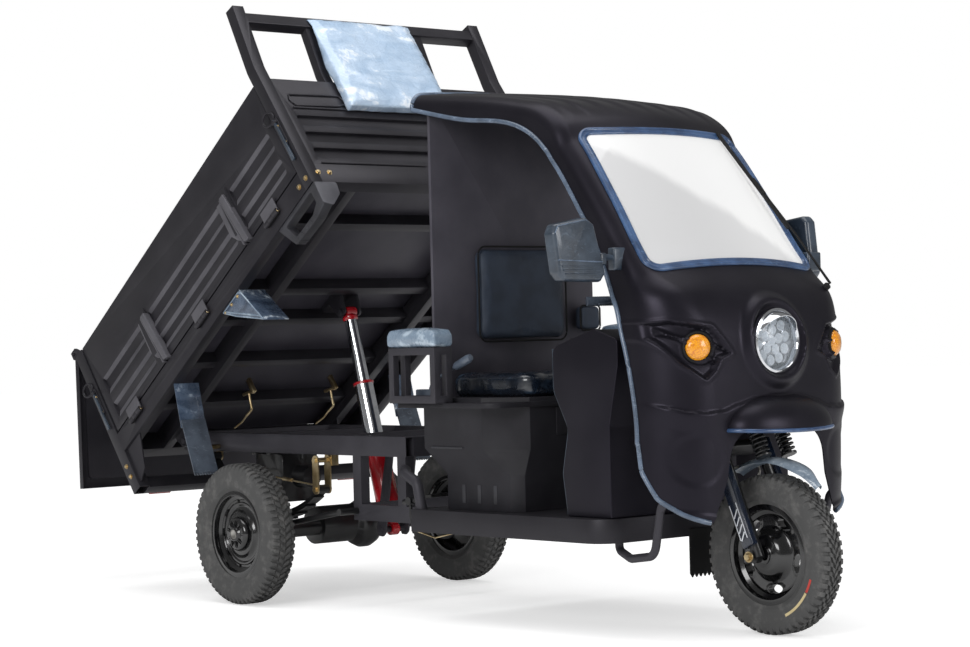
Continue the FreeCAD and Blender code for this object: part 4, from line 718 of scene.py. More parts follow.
def skinRelief(x, y, z):    # how far the skin stands out, in millimetres, from its plain form
    side = abs(y)
    lift = 0.0
    if z > 1700:    # long flutes in the roof
        fade = (smoothStep(cab["ribStart"] - 40, cab["ribStart"] + 20, x)
                * (1 - smoothStep(cab["ribEnd"] - 90, cab["ribEnd"], x)))
        fade *= 1 - smoothStep(330, 372, side)
        flute = (y / cab["ribSpacing"]) % 1.0
        lift += fade * cab["ribHeight"] * (smoothStep(0.0, 0.2, flute) - smoothStep(0.2, 1.0, flute))
    if z < 1200 and x > 2000:
        lampZ, lampR = cab["lamp"]
        signalY, signalZ, _, _ = cab["signal"]
        reach = math.hypot(y, z - lampZ)
        lift += (relief["ring"] * (1 - smoothStep(lampR + 16, lampR + 58, reach))
                 * smoothStep(lampR - 2, lampR + 16, reach))
        lift += relief["swell"] * math.exp(-((side / 120) ** 2 + ((z - 1075) / 55) ** 2))
        depth = insideDistance(side, z, browRecess)
        sunk = smoothStep(-1, 11, depth)
        rim = math.exp(-((depth + 5) / 5) ** 2) * relief["rim"]
        lift += rim - relief["sink"] * sunk
        if depth > 4:    # ribs that run out from the signal to the panel's corner
            for tip, spread in (((452, 1026), 0.16), ((456, 1004), 0.13)):
                away = math.hypot(side - tip[0], z - tip[1])
                towards = math.atan2(signalZ - tip[1], signalY - tip[0])
                bearing = math.atan2(z - tip[1], side - tip[0])
                off = abs(math.remainder(bearing - towards - (0.1 if spread > 0.15 else -0.12), 2 * math.pi))
                lift += (relief["spoke"] * math.exp(-(off * away / 6) ** 2)
                         * smoothStep(4, 16, depth) * smoothStep(8, 40, away))
            lift += relief["boss"] * (1 - smoothStep(50, 62, math.hypot(side - signalY, z - signalZ)))
        crease = z - lineHeight(side, creaseLine)
        if side < 455:
            fade = 1 - smoothStep(410, 452, side)
            lift += fade * relief["crease"] * (1 - smoothStep(-5, 5, crease)) * smoothStep(-70, -6, crease)
        bowl = math.hypot(side - 335, z - 590)
        lift -= relief["dish"] * (1 - smoothStep(70, 96, bowl))
        lift += (relief["fold"] * math.exp(-((z - 405 - 0.16 * (side - 300)) / 9) ** 2)
                 * (1 - smoothStep(420, 450, side)))
    return lift / 1000


def cabSkin():
    columns = cab["crownColumns"] + 2 * cab["cornerColumns"] + 2 * cab["sideColumns"]
    rows = [cab["roofRows"], cab["paneRows"], cab["noseRows"]]
    ends = [0.0, knots[5], knots[7], knots[-1]]
    total = sum(rows)

    def runAt(u):
        step = round(u * total)
        for count, low, high in zip(rows, ends, ends[1:]):
            if step <= count:
                return low + (high - low) * step / count
            step -= count
        return ends[-1]
    bm = mappedGrid(total, columns, lambda u, v: skinPoint(runAt(u), 2 * v - 1))
    bmesh.ops.recalc_face_normals(bm, faces=bm.faces)
    bm.normal_update()
    middle = at(1500, 0, 1000)
    outward = sum((face.normal.dot(face.calc_center_median() - middle) for face in bm.faces)) > 0
    if not outward:
        bmesh.ops.reverse_faces(bm, faces=bm.faces)
        bm.normal_update()
    shifts = []
    for vert in bm.verts:
        x, y, z = (vert.co.x - rearAxle) * 1000, (vert.co.y - centreLine) * 1000, vert.co.z * 1000
        shifts.append(vert.normal * skinRelief(x, y, z))
    for vert, shift in zip(bm.verts, shifts):
        vert.co += shift
    mesh = bpy.data.meshes.new("cabSkin")
    bm.to_mesh(mesh)
    bm.free()
    return mesh


skinSheet = cabSkin()
skinTree = BVHTree.FromPolygons([v.co.copy() for v in skinSheet.vertices],
                                [p.vertices[:] for p in skinSheet.polygons])
print("cab skin laid out:", len(skinSheet.polygons), "faces")

pane = {"foot": (2142, 1222), "head": (1806, 1683), "lowHalf": 398, "highHalf": 372, "low": -2, "high": 592,
        "cornerRise": 26}
paneSlope = math.atan2(pane["head"][1] - pane["foot"][1], pane["head"][0] - pane["foot"][0])
paneUp = Vector((math.cos(paneSlope), 0, math.sin(paneSlope)))
paneOut = Vector((paneUp.z, 0, -paneUp.x))


def panePlace(a, b, depth):    # across, up the screen and out of it, in millimetres
    return at(pane["foot"][0], a, pane["foot"][1]) + (paneUp * b + paneOut * depth) / 1000


def paneOutline(margin, radius, steps=8):
    low, high = pane["low"] - margin, pane["high"] + margin
    corners = [(-pane["lowHalf"] - margin, low), (pane["lowHalf"] + margin, low),
               (pane["highHalf"] + margin, high), (-pane["highHalf"] - margin, high)]
    dense = refined(roundedPath(corners, radius, steps), 40, True)
    for point in dense:    # the head of the screen bows with the roof
        point.y += pane["cornerRise"] * (point.x / pane["highHalf"]) ** 2 * smoothStep(250, high, point.y)
    return dense


def onSkin(point, direction, lift=0.0):
    place, normal, _, _ = skinTree.ray_cast(point, direction)
    if place is None:
        place, normal, _, _ = skinTree.find_nearest(point)
    if normal.dot(direction) > 0:
        normal = -normal
    return place + normal * lift, normal


sweepCorners = [(1900, 640), (2088, 640), (2098, 556), (2150, 466), (2262, 384), (2420, 372)]
sweepRadii = [0, 0, 60, 60, 40, 0]


def sidePlace(a, b, depth):    # forward, up and across
    return at(a, depth, b)


def frontPlace(a, b, depth):    # across, up and forward
    return at(depth, a, b)


def skinCutters():
    cutters = [prism(paneOutline(-12, 46), panePlace, -90, 90)]
    arch = roundedPath([(-326, 300), (326, 300), (236, 520), (210, 680), (-210, 680), (-236, 520)],
                       [0, 0, 60, 104, 104, 60], 10)
    cutters.append(prism(arch, frontPlace, 2150, 2420))
    sweep = roundedPath(sweepCorners + [(2420, 300), (1900, 300)], sweepRadii + [0, 0], 8)
    cutters.append(prism(sweep, sidePlace, -520, 520))
    lampZ, lampR = cab["lamp"]
    cutters.append(lathe([(0, 0), (0, (lampR - 7) / 1000), (0.3, (lampR - 7) / 1000), (0.3, 0)],
                         at(2110, 0, lampZ), (1, 0, 0), 72))
    y, z, x, turn = cab["signal"]
    for side in (-1, 1):
        axis = Vector((math.cos(math.radians(turn)), side * math.sin(math.radians(turn)), 0))
        radius = cab["signalRadius"] / 1000
        cutters.append(roller(-0.06, 0.06, radius, at(x, side * y, z), axis, 40))
    return cutters


def cutSkin():
    mesh = solidified(skinSheet, cab["gauge"], even=True)
    for cutter in skinCutters():
        mesh = drilled(mesh, [cutter])
    return mesh


beak = {"base": 2268, "reach": 132, "half": 231, "lip": 682, "height": 112, "gauge": 0.004}


def beakPoint(turn, rise, inset=0.0):    # turn runs across from side to side, rise from the lip to the top
    reach, half, height = (beak[key] - inset for key in ("reach", "half", "height"))
    flat = math.cos(rise) ** 0.8
    sag = 6 * math.cos(turn) ** 2
    return at(beak["base"] + reach * math.cos(turn) ** 0.8 * flat, half * math.sin(turn) * flat,
              beak["lip"] - sag + height * math.sin(rise))


def beakSkin():
    bm = mappedGrid(56, 24, lambda u, v: beakPoint(math.radians(-89.9 + 179.8 * u), math.radians(88 * v)))
    bmesh.ops.remove_doubles(bm, verts=bm.verts, dist=1e-4)
    bmesh.ops.recalc_face_normals(bm, faces=bm.faces)
    return solidified(meshOf(bm, "beak"), beak["gauge"])


addPiece("cabSkin", cutSkin(), "cabSkin", "chassis", "cab_black", 42, "cab_shell")
addPiece("beakSkin", beakSkin(), "cabSkin", "chassis", "cab_black", 60)
print("cab skin cut")


# Rubber round the glass, on the skin's edges and on the beak's lip

trim = {"gasketHalf": 15, "gasketRise": 9, "edgeRadius": 0.0085, "lipRadius": 0.007}


def gasketRing():
    path = [panePlace(point.x, point.y, 80) for point in paneOutline(-13, 46, 14)]
    seats = [onSkin(point, -paneOut) for point in refined(path, 0.03, True)]
    count = len(seats)
    profile = [(-1, -0.3), (-1, 0.35), (-0.8, 0.75), (-0.45, 0.8), (-0.35, 0.6), (0.1, 0.62), (0.25, 0.95),
               (0.7, 1.0), (0.95, 0.6), (1, -0.3)]

    def place(u, v):
        i = round(u * count) % count
        point, normal = seats[i]
        along = (seats[(i + 1) % count][0] - seats[i - 1][0]).normalized()
        outward = along.cross(normal).normalized()
        across, lift = profile[round(v * (len(profile) - 1))]
        return point + (outward * across * trim["gasketHalf"] + normal * lift * trim["gasketRise"]) / 1000
    return mappedGrid(count, len(profile) - 1, place, True)


def paneSheet():
    outline = paneOutline(-14, 44, 10)
    bm = bmesh.new()
    bm.faces.new([bm.verts.new((point.x, point.y, 0)) for point in outline])
    for axis, low, high, step in ((0, -380, 380, 40), (1, 0, 600, 40)):
        for value in range(low, high, step):
            normal = Vector((1, 0, 0)) if axis == 0 else Vector((0, 1, 0))
            bmesh.ops.bisect_plane(bm, geom=bm.verts[:] + bm.edges[:] + bm.faces[:], plane_co=normal * value,
                                   plane_no=normal)
    for vert in bm.verts:
        vert.co = onSkin(panePlace(vert.co.x, vert.co.y, 80), -paneOut, -0.0015)[0]
    return solidified(meshOf(bm, "pane"), 0.003, 0)


def edgeRun(side):    # from the roof's rear corner to the cheek's tip
    points = []
    lowest = 640
    run = 0.0
    while run < knots[-1]:
        point = skinPoint(run, side)
        if point.z * 1000 < lowest:
            break
        points.append(point)
        run += 14
    sweep = roundedPath(sweepCorners, sweepRadii, 10, False)
    line = refined(sweep[1:], 14)
    for spot in line:
        if spot.x > 2292:
            break
        place, _ = onSkin(at(spot.x, side * 600, spot.y), Vector((0, -side, 0)))
        if abs(place.y - centreLine) < 0.296:
            break
        points.append(place)
    return points


def edgeTrims():
    right, left = edgeRun(-1), edgeRun(1)
    rear = [skinPoint(0, -1 + 2 * k / 60) for k in range(1, 60)]
    path = right[::-1] + rear + left
    clean = [path[0]]
    for point in path[1:]:
        if (point - clean[-1]).length > 0.004:
            clean.append(point)
    return sweptTube(clean, trim["edgeRadius"], 10)


addPiece("screenGasket", gasketRing(), "gasketBlue", "chassis", "rubber_blue", 50, "windshield_gasket")
addPiece("screenPane", paneSheet(), "pane", "chassis", "glass", 40, "windshield")
addPiece("skinEdgeTrim", edgeTrims(), "edgeTrim", "chassis", "rubber_blue", 60)
lipPath = [beakPoint(math.radians(-88 + 176 * k / 60), 0) + Vector((0, 0, -0.002)) for k in range(61)]
addPiece("beakLipTrim", sweptTube(lipPath, trim["lipRadius"], 10), "gasketBlue", "chassis", "rubber_blue", 60)
print("rubber fitted")


# Lamps

lampSizes = {"station": 2250, "bezel": 0.109, "cups": ((0, 1), (0.034, 5), (0.066, 10)), "hoodReach": 0.052}


def headlampPieces():
    centre = at(lampSizes["station"], 0, cab["lamp"][0])
    axis = Vector((1, 0, 0))
    rim = lampSizes["bezel"]
    bezel = lathe([(0.010, rim - 0.012), (0.020, rim - 0.004), (0.034, rim), (0.044, rim - 0.003),
                   (0.047, rim - 0.010), (0.040, rim - 0.016), (0.020, rim - 0.018), (0.010, rim - 0.012)],
                  centre, axis, 72)
    addPiece("headlampBezel", bezel, "chrome", "chassis", "lamp", 50, "headlamp")
    bowl = [lathe([(-0.060, 0.0), (-0.055, 0.05), (-0.02, 0.09), (0.024, rim - 0.014), (0.020, rim - 0.012),
                   (-0.024, 0.093), (-0.059, 0.053), (-0.064, 0.0)], centre, axis, 60)]
    cups = []
    for radius, count in lampSizes["cups"]:
        for k in range(count):
            turn = 2 * math.pi * k / count + 0.2
            spot = centre + Vector((0.0, math.cos(turn) * radius, math.sin(turn) * radius))
            cups.append(lathe([(0.0, 0.0), (0.002, 0.006), (0.014, 0.013), (0.018, 0.0165), (0.016, 0.018),
                               (0.0, 0.009), (-0.01, 0.0)], spot, axis, 18))
            cups.append(lathe([(0.002, 0.0), (0.010, 0.003), (0.012, 0.0)], spot, axis, 10))
    addPiece("headlampBowl", bowl, "chrome", "chassis", "lamp", 40)
    addPiece("headlampCups", cups, "bowl", "chassis", "lamp", 40)
    lens = lathe([(0.034, rim - 0.016), (0.040, rim - 0.028), (0.050, 0.07), (0.058, 0.035), (0.060, 0.0),
                  (0.057, 0.0), (0.055, 0.035), (0.047, 0.07), (0.037, rim - 0.028), (0.031, rim - 0.016)],
                 centre, axis, 60)
    addPiece("headlampLens", lens, "clearLens", "chassis", "lamp", 60)

    def hood(u, v):    # a chrome brow over the lens
        turn = math.radians(14 + 152 * u)
        swell = math.sin(math.pi * u) ** 0.6
        out = 0.030 + lampSizes["hoodReach"] * v * swell
        radius = rim - 0.012 - 0.010 * v * v * swell
        return centre + Vector((out, math.cos(turn) * radius,
                                math.sin(turn) * radius - 0.006 * v * v * swell))
    brow = solidified(meshOf(mappedGrid(48, 10, hood), "hood"), 0.0022)
    addPiece("headlampHood", brow, "chrome", "chassis", "lamp", 50)


def signalPieces():
    lenses, rings = [], []
    y, z, x, turn = cab["signal"]
    for side in (-1, 1):
        axis = Vector((math.cos(math.radians(turn)), side * math.sin(math.radians(turn)), 0))
        centre = at(x, side * y, z) - axis * 0.002
        lenses.append(lathe([(-0.02, 0), (-0.02, 0.030), (0.0, 0.042), (0.016, 0.043), (0.022, 0.0425),
                             (0.028, 0.040), (0.036, 0.030), (0.040, 0.015), (0.041, 0)], centre, axis, 48))
        rings.append(lathe([(0.0, 0.0425), (0.012, 0.052), (0.020, 0.0515), (0.023, 0.047), (0.020, 0.0435),
                            (0.0, 0.0425)], centre, axis, 48))
    addPiece("signalLenses", lenses, "amber", "chassis", "amber", 40, "turn_signals")
    addPiece("signalRings", rings, "rubber", "chassis", "rubber_black", 40)


headlampPieces()
signalPieces()
print("lamps fitted")


# Forms that several pieces use

rake = math.radians(23.5)
bedMatrix = bedPlace @ Matrix.Scale(0.001, 4)
groundMatrix = Matrix.Translation((rearAxle, centreLine, 0)) @ Matrix.Scale(0.001, 4)
acrossAxis = Vector((0, 1, 0))
bedForward = (bedAt(1000, 0, 0) - bedAt(0, 0, 0)).normalized()


def steerAt(along, forward, y):    # millimetres up the steering axis, forward of it and to the left
    return at(2100 - along * math.sin(rake) + forward * math.cos(rake), y,
              557 + along * math.cos(rake) + forward * math.sin(rake))


stemAxis = steerAt(1, 0, 0) - steerAt(0, 0, 0)
bladeAxis = (steerAt(0, 1, 0) - steerAt(0, 0, 0)).normalized()


def solidOn(countU, countV, place):    # a block: two shares run over its base and the third up to its top
    bm = bmesh.new()
    bmesh.ops.create_grid(bm, x_segments=countU, y_segments=countV, size=0.5)
    pushed = bmesh.ops.extrude_face_region(bm, geom=bm.faces[:], use_keep_orig=True)
    for item in pushed["geom"]:
        if isinstance(item, bmesh.types.BMVert):
            item.co.z = 1
    for vert in bm.verts:
        vert.co = place(vert.co.x + 0.5, vert.co.y + 0.5, vert.co.z)
    return bm


def ringOf(parts, centre, count):    # the parts repeated round a cross axle
    mesh = joinedMesh("sector", parts)
    bm = bmesh.new()
    bm.from_mesh(mesh)
    bmesh.ops.spin(bm, geom=bm.verts[:] + bm.edges[:] + bm.faces[:], cent=centre, axis=acrossAxis,
                   angle=2 * math.pi * (count - 1) / count, steps=count - 1, use_duplicate=True)
    return bm


def bolt(point, axis, radius):    # a hexagon head on its washer
    washer = [(0, 0), (0, radius * 1.5), (radius * 0.25, radius * 1.45), (radius * 0.25, 0)]
    head = [(radius * 0.25, 0), (radius * 0.25, radius), (radius * 0.95, radius),
            (radius * 1.1, radius * 0.85), (radius * 1.1, 0)]
    return [lathe(washer, point, axis, 18), lathe(head, point, axis, 6)]


def dome(point, axis, radius, height):    # a round plug or screw head
    profile = [(0, 0), (0, radius), (height * 0.4, radius * 0.96), (height * 0.8, radius * 0.7), (height, 0)]
    return lathe(profile, point, axis, 20)


def bedBlock(low, high, width=1.5, segments=2):
    return moved(softBlock(low, high, width, segments), bedMatrix)


def groundBlock(low, high, width=1.5, segments=2):
    return moved(softBlock(low, high, width, segments), groundMatrix)


def slab(outline, place, low, high, width, segments=2):    # a plate with rounded corners and edges, in metres
    bm = prism(outline, place, low, high)
    rim = [edge for edge in bm.edges if len(edge.link_faces) == 2 and edge.calc_face_angle() > 0.8]
    bmesh.ops.bevel(bm, geom=rim, offset=width, segments=segments, profile=0.5, affect="EDGES", material=-1,
                    clamp_overlap=True)
    return bm


# Wheels

wheels = {"beadSeat": 152.3, "rearRadius": 270.5, "rearHalf": 55, "rearLugs": 62, "frontRadius": 264,
          "frontHalf": 50, "frontLugs": 54, "windowReach": 114, "windowLong": 31, "windowWide": 15}
frontHub = at(2255, 0, 264)


def onWheel(hub, turn, across, out):    # degrees round from the front, millimetres across and out
    angle = math.radians(turn)
    return hub + Vector((math.cos(angle) * out, across, math.sin(angle) * out)) / 1000


def turned(pairs, hub, steps, side=1):    # a part round the axle, from millimetres across and out
    return lathe([(side * a / 1000, r / 1000) for a, r in pairs], hub, acrossAxis, steps)


def tyrePath(radius, half):    # across and out, over one side from the bead to the crown
    seat = wheels["beadSeat"]
    return [(36.7, seat), (38, seat + 9), (half * 0.84, seat + 19), (half * 0.93, seat + 25),
            (half * 0.965, seat + 29), (half * 0.945, seat + 33), (half * 0.97, seat + 40),
            (half * 0.995, seat + 50), (half, radius - 54), (half * 0.99, radius - 38),
            (half * 0.95, radius - 24), (half * 0.87, radius - 14.5), (half * 0.66, radius - 9.5),
            (half * 0.34, radius - 7.5), (0, radius - 7)]


def tyreMesh(name, hub, radius, half, lugs, rows):
    path = tyrePath(radius, half)
    whole = path + [(-a, r) for a, r in path[-2::-1]]
    parts = [turned(whole, hub, 90)]
    step = 360 / lugs
    sector = []
    for spots, share, skew, shift in rows:
        for side in (-1, 1):
            def place(u, v, w):
                position = v * (len(spots) - 1)
                i = min(int(position), len(spots) - 2)
                t = position - i
                across, out, rise = (spots[i][k] * (1 - t) + spots[i + 1][k] * t for k in range(3))
                turn = step * ((u - 0.5) * share * (1 - 0.14 * w) + skew * v + shift
                               + (0.5 if side > 0 else 0))
                return onWheel(hub, turn, side * across, out + rise * w)
            sector.append(solidOn(1, len(spots) - 1, place))
    parts.append(ringOf(sector, hub, lugs))
    return joinedMesh(name, parts)


def shoulderLug(radius, half):    # across, out and height over the carcass
    return [(half * 0.52, radius - 9.5, 9.2), (half * 0.72, radius - 11.5, 9.6),
            (half * 0.88, radius - 16, 8.6), (half * 0.955, radius - 25, 4.4),
            (half * 0.99, radius - 40, 1.6)]


def centreLug(radius, half, low, high):
    return [(half * low, radius - 8.2, 8), (half * high, radius - 9.4, 8.6)]


def rimPath():
    return [(-41, 148), (-41, 165), (-39.6, 167.5), (-37.2, 165), (-37, 153.5), (-35, 152), (-20, 152),
            (-14, 139), (14, 139), (20, 152), (35, 152), (37, 153.5), (37.2, 165), (39.6, 167.5), (41, 165),
            (41, 148), (38, 146.5), (19, 146.5), (12, 133.5), (-12, 133.5), (-19, 146.5), (-38, 146.5),
            (-41, 148)]


def rearWheel(side, word):
    tyreNode, rimNode = "rear_tyre_" + word.lower(), "rear_rim_" + word.lower()
    hub = at(0, side * 538, wheels["rearRadius"])
    radius, half = wheels["rearRadius"], wheels["rearHalf"]
    rows = [(shoulderLug(radius, half), 0.56, 0.16, 0), (centreLug(radius, half, 0.05, 0.42), 0.62, 0.5, 0.3)]
    addPiece("rearTyre" + word, tyreMesh("rearTyre", hub, radius, half, wheels["rearLugs"], rows), "tyre",
             bodyOf[tyreNode], "tyre", 30, tyreNode)
    disc = [(12, 137), (9, 131), (6, 128), (6, 122), (11, 118), (11, 112), (6, 106), (6, 96), (10, 88),
            (18, 82), (20, 74), (20, 60), (0, 60), (0, 120), (8, 137), (12, 137)]
    parts = [turned(rimPath(), hub, 80, side), turned(disc, hub, 80, side)]
    back = [(-30, 15.3), (-30, 40), (-4, 60), (0, 64), (6, 64), (6, 15.3), (-30, 15.3)]
    parts.append(turned(back, hub, 48, side))
    tab = solidOn(2, 1, lambda u, v, w: onWheel(hub, (u - 0.5) * 13, side * (4 + 8 * w), 124 + 8 * v - w))
    parts.append(ringOf([tab], hub, 10))
    cap = [(18, 67), (24, 67.5), (30, 65.5), (38, 62), (43, 57), (45, 50), (44, 33), (48, 29), (52, 26),
           (53, 22), (51, 19), (51, 0), (18, 0)]
    parts.append(turned(cap, hub, 64, side))

    def rib(shift):
        return solidOn(1, 4, lambda u, v, w: onWheel(
            hub, (u - 0.5) * 2.6 + shift, side * (40 + 8.5 * w * (1 - v ** 4) + 3 * (1 - v)), 31 + 28 * v))
    parts.append(ringOf([rib(-5), rib(5)], hub, 9))
    addPiece("rearRim" + word, parts, "wheelGloss", bodyOf[rimNode], "wheel_black", 34, rimNode)
    badge = turned(((50.5, 0), (50.5, 18), (52.5, 18.6), (53.4, 16.5), (52.4, 14.5), (52.6, 0)), hub, 40,
                   side)
    addPiece("rearBadge" + word, badge, "bareSteel", bodyOf[rimNode], "zinc_gold", 34)


def frontWheel():
    hub = frontHub
    radius, half = wheels["frontRadius"], wheels["frontHalf"]
    rows = [(shoulderLug(radius, half), 0.6, 0.1, 0), (centreLug(radius, half, 0.28, 0.5), 0.5, 0.2, 0.25),
            (centreLug(radius, half, 0.02, 0.24), 0.56, 0.4, 0.55)]
    addPiece("frontTyre", tyreMesh("frontTyre", hub, radius, half, wheels["frontLugs"], rows), "tyre",
             "front_wheel", "tyre", 30, "front_tyre")
    face = [(3, 138), (9, 133), (12, 128), (12, 92), (16, 86), (24, 78), (36, 71), (46, 62), (50, 50),
            (51, 36), (54, 31), (60, 30), (62, 26), (62, 12.5)]
    path = face + [(-a, r) for a, r in face[::-1]] + [face[0]]
    disc = turned(path, hub, 120)
    windows = []
    for k in range(5):
        middle = onWheel(hub, 60 + 72 * k, 0, wheels["windowReach"])
        out = (middle - hub).normalized()
        along = out.cross(acrossAxis)
        windows.append((middle, out, along))
    bmesh.ops.subdivide_edges(disc, edges=[edge for edge in disc.edges if edge.calc_length() > 0.02], cuts=7)
    for vert in disc.verts:
        for middle, out, along in windows:
            offset = vert.co - middle
            reach = math.hypot(offset.dot(along) / wheels["windowLong"],
                               offset.dot(out) / wheels["windowWide"]) * 1000
            if abs(offset.y) > 0.006 and reach < 1.7:
                lip = math.exp(-((reach - 1.12) / 0.13) ** 2) * 0.004
                vert.co.y += math.copysign(lip, offset.y)
    cutters = []
    for middle, out, along in windows:
        ring = [(math.cos(2 * math.pi * k / 28) * wheels["windowLong"] / 1000,
                 math.sin(2 * math.pi * k / 28) * wheels["windowWide"] / 1000) for k in range(28)]
        cutters.append(prism(ring, lambda a, b, depth, m=middle, o=out, l=along: m + l * a + o * b
                             + acrossAxis * depth, -0.08, 0.08))
    parts = [turned(rimPath(), hub, 90)]
    mesh = drilled(meshOf(disc, "disc"), cutters)
    whole = bmesh.new()
    whole.from_mesh(mesh)
    parts.append(whole)
    addPiece("frontRim", parts, "wheelGloss", "front_wheel", "wheel_black", 38, "front_rim")
    for name, finish, start, end in (("tyreBarRed", "decalRed", -19, -32),
                                     ("tyreBarSand", "decalSand", -33, -66)):
        bar = mappedGrid(24, 2, lambda u, v: onWheel(hub, start + (end - start) * u, -50.7, 205 + 9 * v))
        addPiece(name, solidified(meshOf(bar, name), 0.0006, 0), finish, "front_wheel", "tyre", 60)


rearWheel(-1, "Right")
rearWheel(1, "Left")
frontWheel()
print("wheels fitted")


# Steering: fork, springs and fender

fork = {"leg": 92, "legForward": 38, "coverLow": -302, "coverHigh": 70, "coilRadius": 0.0225,
        "coilWire": 0.0042, "coilTurns": 6, "springForward": 172, "springSide": 62, "fenderRadius": 309,
        "fenderHalf": 45}


def springAt(along, side):    # on the axis of a coil spring
    return steerAt(along, fork["springForward"], side * fork["springSide"])


def forkPieces():
    parts = [roller(0.0, 0.31, 0.017, steerAt(40, 0, 0), steerAt(400, 0, 0) - steerAt(40, 0, 0), 32)]
    outline = roundedPath(rectangle(-30, 66, -118, 118), 24, 6)
    parts.append(slab(outline, lambda a, b, depth: steerAt(depth, a, b), 40, 62, 0.002))
    for side in (-1, 1):
        y = side * fork["leg"]
        low, high = steerAt(-340, fork["legForward"], y), steerAt(62, fork["legForward"], y)
        length = (high - low).length
        profile = [(0, 0), (0, 0.0185), (0.004, 0.0195), (0.12, 0.0195), (0.13, 0.0175),
                   (length - 0.02, 0.0175), (length - 0.014, 0.0215), (length, 0.0215), (length, 0)]
        parts.append(lathe(profile, low, high - low, 28))
        parts.append(roller(-0.012, 0.012, 0.023, frontHub + acrossAxis * (y / 1000), acrossAxis, 28))
        for along, radius in ((66, 0.018), (74, 0.014), (82, 0.011)):
            spot = steerAt(along, fork["legForward"], side * 112)
            parts.append(roller(-0.005, 0.004, radius, spot, stemAxis, 20))
    parts.append(roller(-0.137, 0.137, 0.0095, frontHub, acrossAxis, 20))
    addPiece("forkLegs", parts, "axleBlack", "steering", "frame_black", 36, "fork")
    covers, whites, reds = [], [], []
    for side in (-1, 1):
        outline = [(fork["coverHigh"], 16), (fork["coverHigh"], 60), (fork["coverLow"] + 4, 62),
                   (fork["coverLow"], 14), (fork["coverHigh"] - 60, 14)]
        corners = roundedPath(outline, 5, 3)
        covers.append(slab(corners, lambda a, b, depth: steerAt(a, b, side * depth), 100, 128, 0.004, 3))
        face = side * 128.6

        def stripe(points, width):
            line = [steerAt(a, f, face) for a, f in points]
            return sweptTube(line, width, 4, False, 0.25, Vector((0, side, 0)))
        hexagon = [(44 + 17 * math.cos(math.radians(60 * k + 12)),
                    24 + 13 * math.sin(math.radians(60 * k + 12))) for k in range(7)]
        whites.append(stripe([(a - 20, f + 2) for a, f in hexagon], 0.0012))
        for k in range(4):
            whites.append(stripe([(-172 - 26 * k, 46), (-196 - 26 * k, 22)], 0.0026))
        for f in (50, 19):
            whites.append(stripe([(-150, f), (-272, f)], 0.0020))
        nut = frontHub + acrossAxis * (side * 0.124)
        reds += bolt(nut, acrossAxis * side, 0.0125)
        reds.append(lathe([(0, 0), (0, 0.0078), (0.0135, 0.0070), (0.0145, 0)], nut, acrossAxis * side, 16))
    addPiece("forkCovers", covers, "forkNavy", "steering", "frame_black", 40)
    addPiece("forkStripes", whites, "decalWhite", "steering", "frame_black", 40)
    addPiece("axleNuts", reds, "zincGold", "steering", "zinc_gold", 30)
    springs = []
    for side in (-1, 1):
        def spiral(share):
            turn = 2 * math.pi * fork["coilTurns"] * share
            middle = springAt(-38 + 90 * share, side)
            return middle + (bladeAxis * math.cos(turn) + acrossAxis * math.sin(turn)) * fork["coilRadius"]
        springs.append(sweptTube([spiral(k / 150) for k in range(151)], fork["coilWire"], 8))
        for along in (-42, 52):
            springs.append(lathe([(0, 0), (0, 0.026), (0.005, 0.027), (0.008, 0.024), (0.008, 0)],
                                 springAt(along, side), stemAxis, 28))
        springs.append(roller(0, 0.094, 0.012, springAt(-41, side), stemAxis, 20))
    addPiece("forkSprings", springs, "axleBlack", "steering", "frame_black", 40, "front_shocks")


def fenderPieces():
    def place(u, v):
        turn = 124 - 76 * u
        reach = 1 - smoothStep(0.72, 1.0, u) * 0.72
        half = fork["fenderHalf"] * reach * (0.86 + 0.14 * smoothStep(0, 0.2, u))
        across = half * (2 * v - 1)
        out = (fork["fenderRadius"] + 10 * (1 - (2 * v - 1) ** 2) - 7 * abs(2 * v - 1) ** 6
               - 9 * smoothStep(0.8, 1.0, u))
        return onWheel(frontHub, turn, across, out)
    blade = solidified(meshOf(mappedGrid(44, 14, place), "fenderBlade"), 0.0022, 0)
    addPiece("fenderBlade", blade, "filmChrome", "steering", "chrome", 60, "front_fender")
    stays = []
    for side in (-1, 1):
        line = [onWheel(frontHub, 112, side * 40, 309), onWheel(frontHub, 112, side * 60, 306),
                onWheel(frontHub, 116, side * 74, 292), onWheel(frontHub, 124, side * 76, 262)]
        stays.append(sweptTube(roundedPath(line, 0.008, 3, False), 0.0045, 8))
    addPiece("fenderStays", stays, "bareSteel", "steering", "chrome", 40)


forkPieces()
fenderPieces()
print("steering dressed")


# Stuffed pieces. Each starts a little small and is blown up by the cloth solver.

pads = {"seat": (0.008, 0.010, 3.2), "back": (0.006, 0.009, 1.6), "arm": (0.0055, 0.007, 1.5),
        "rack": (0.008, 0.010, 4.0)}


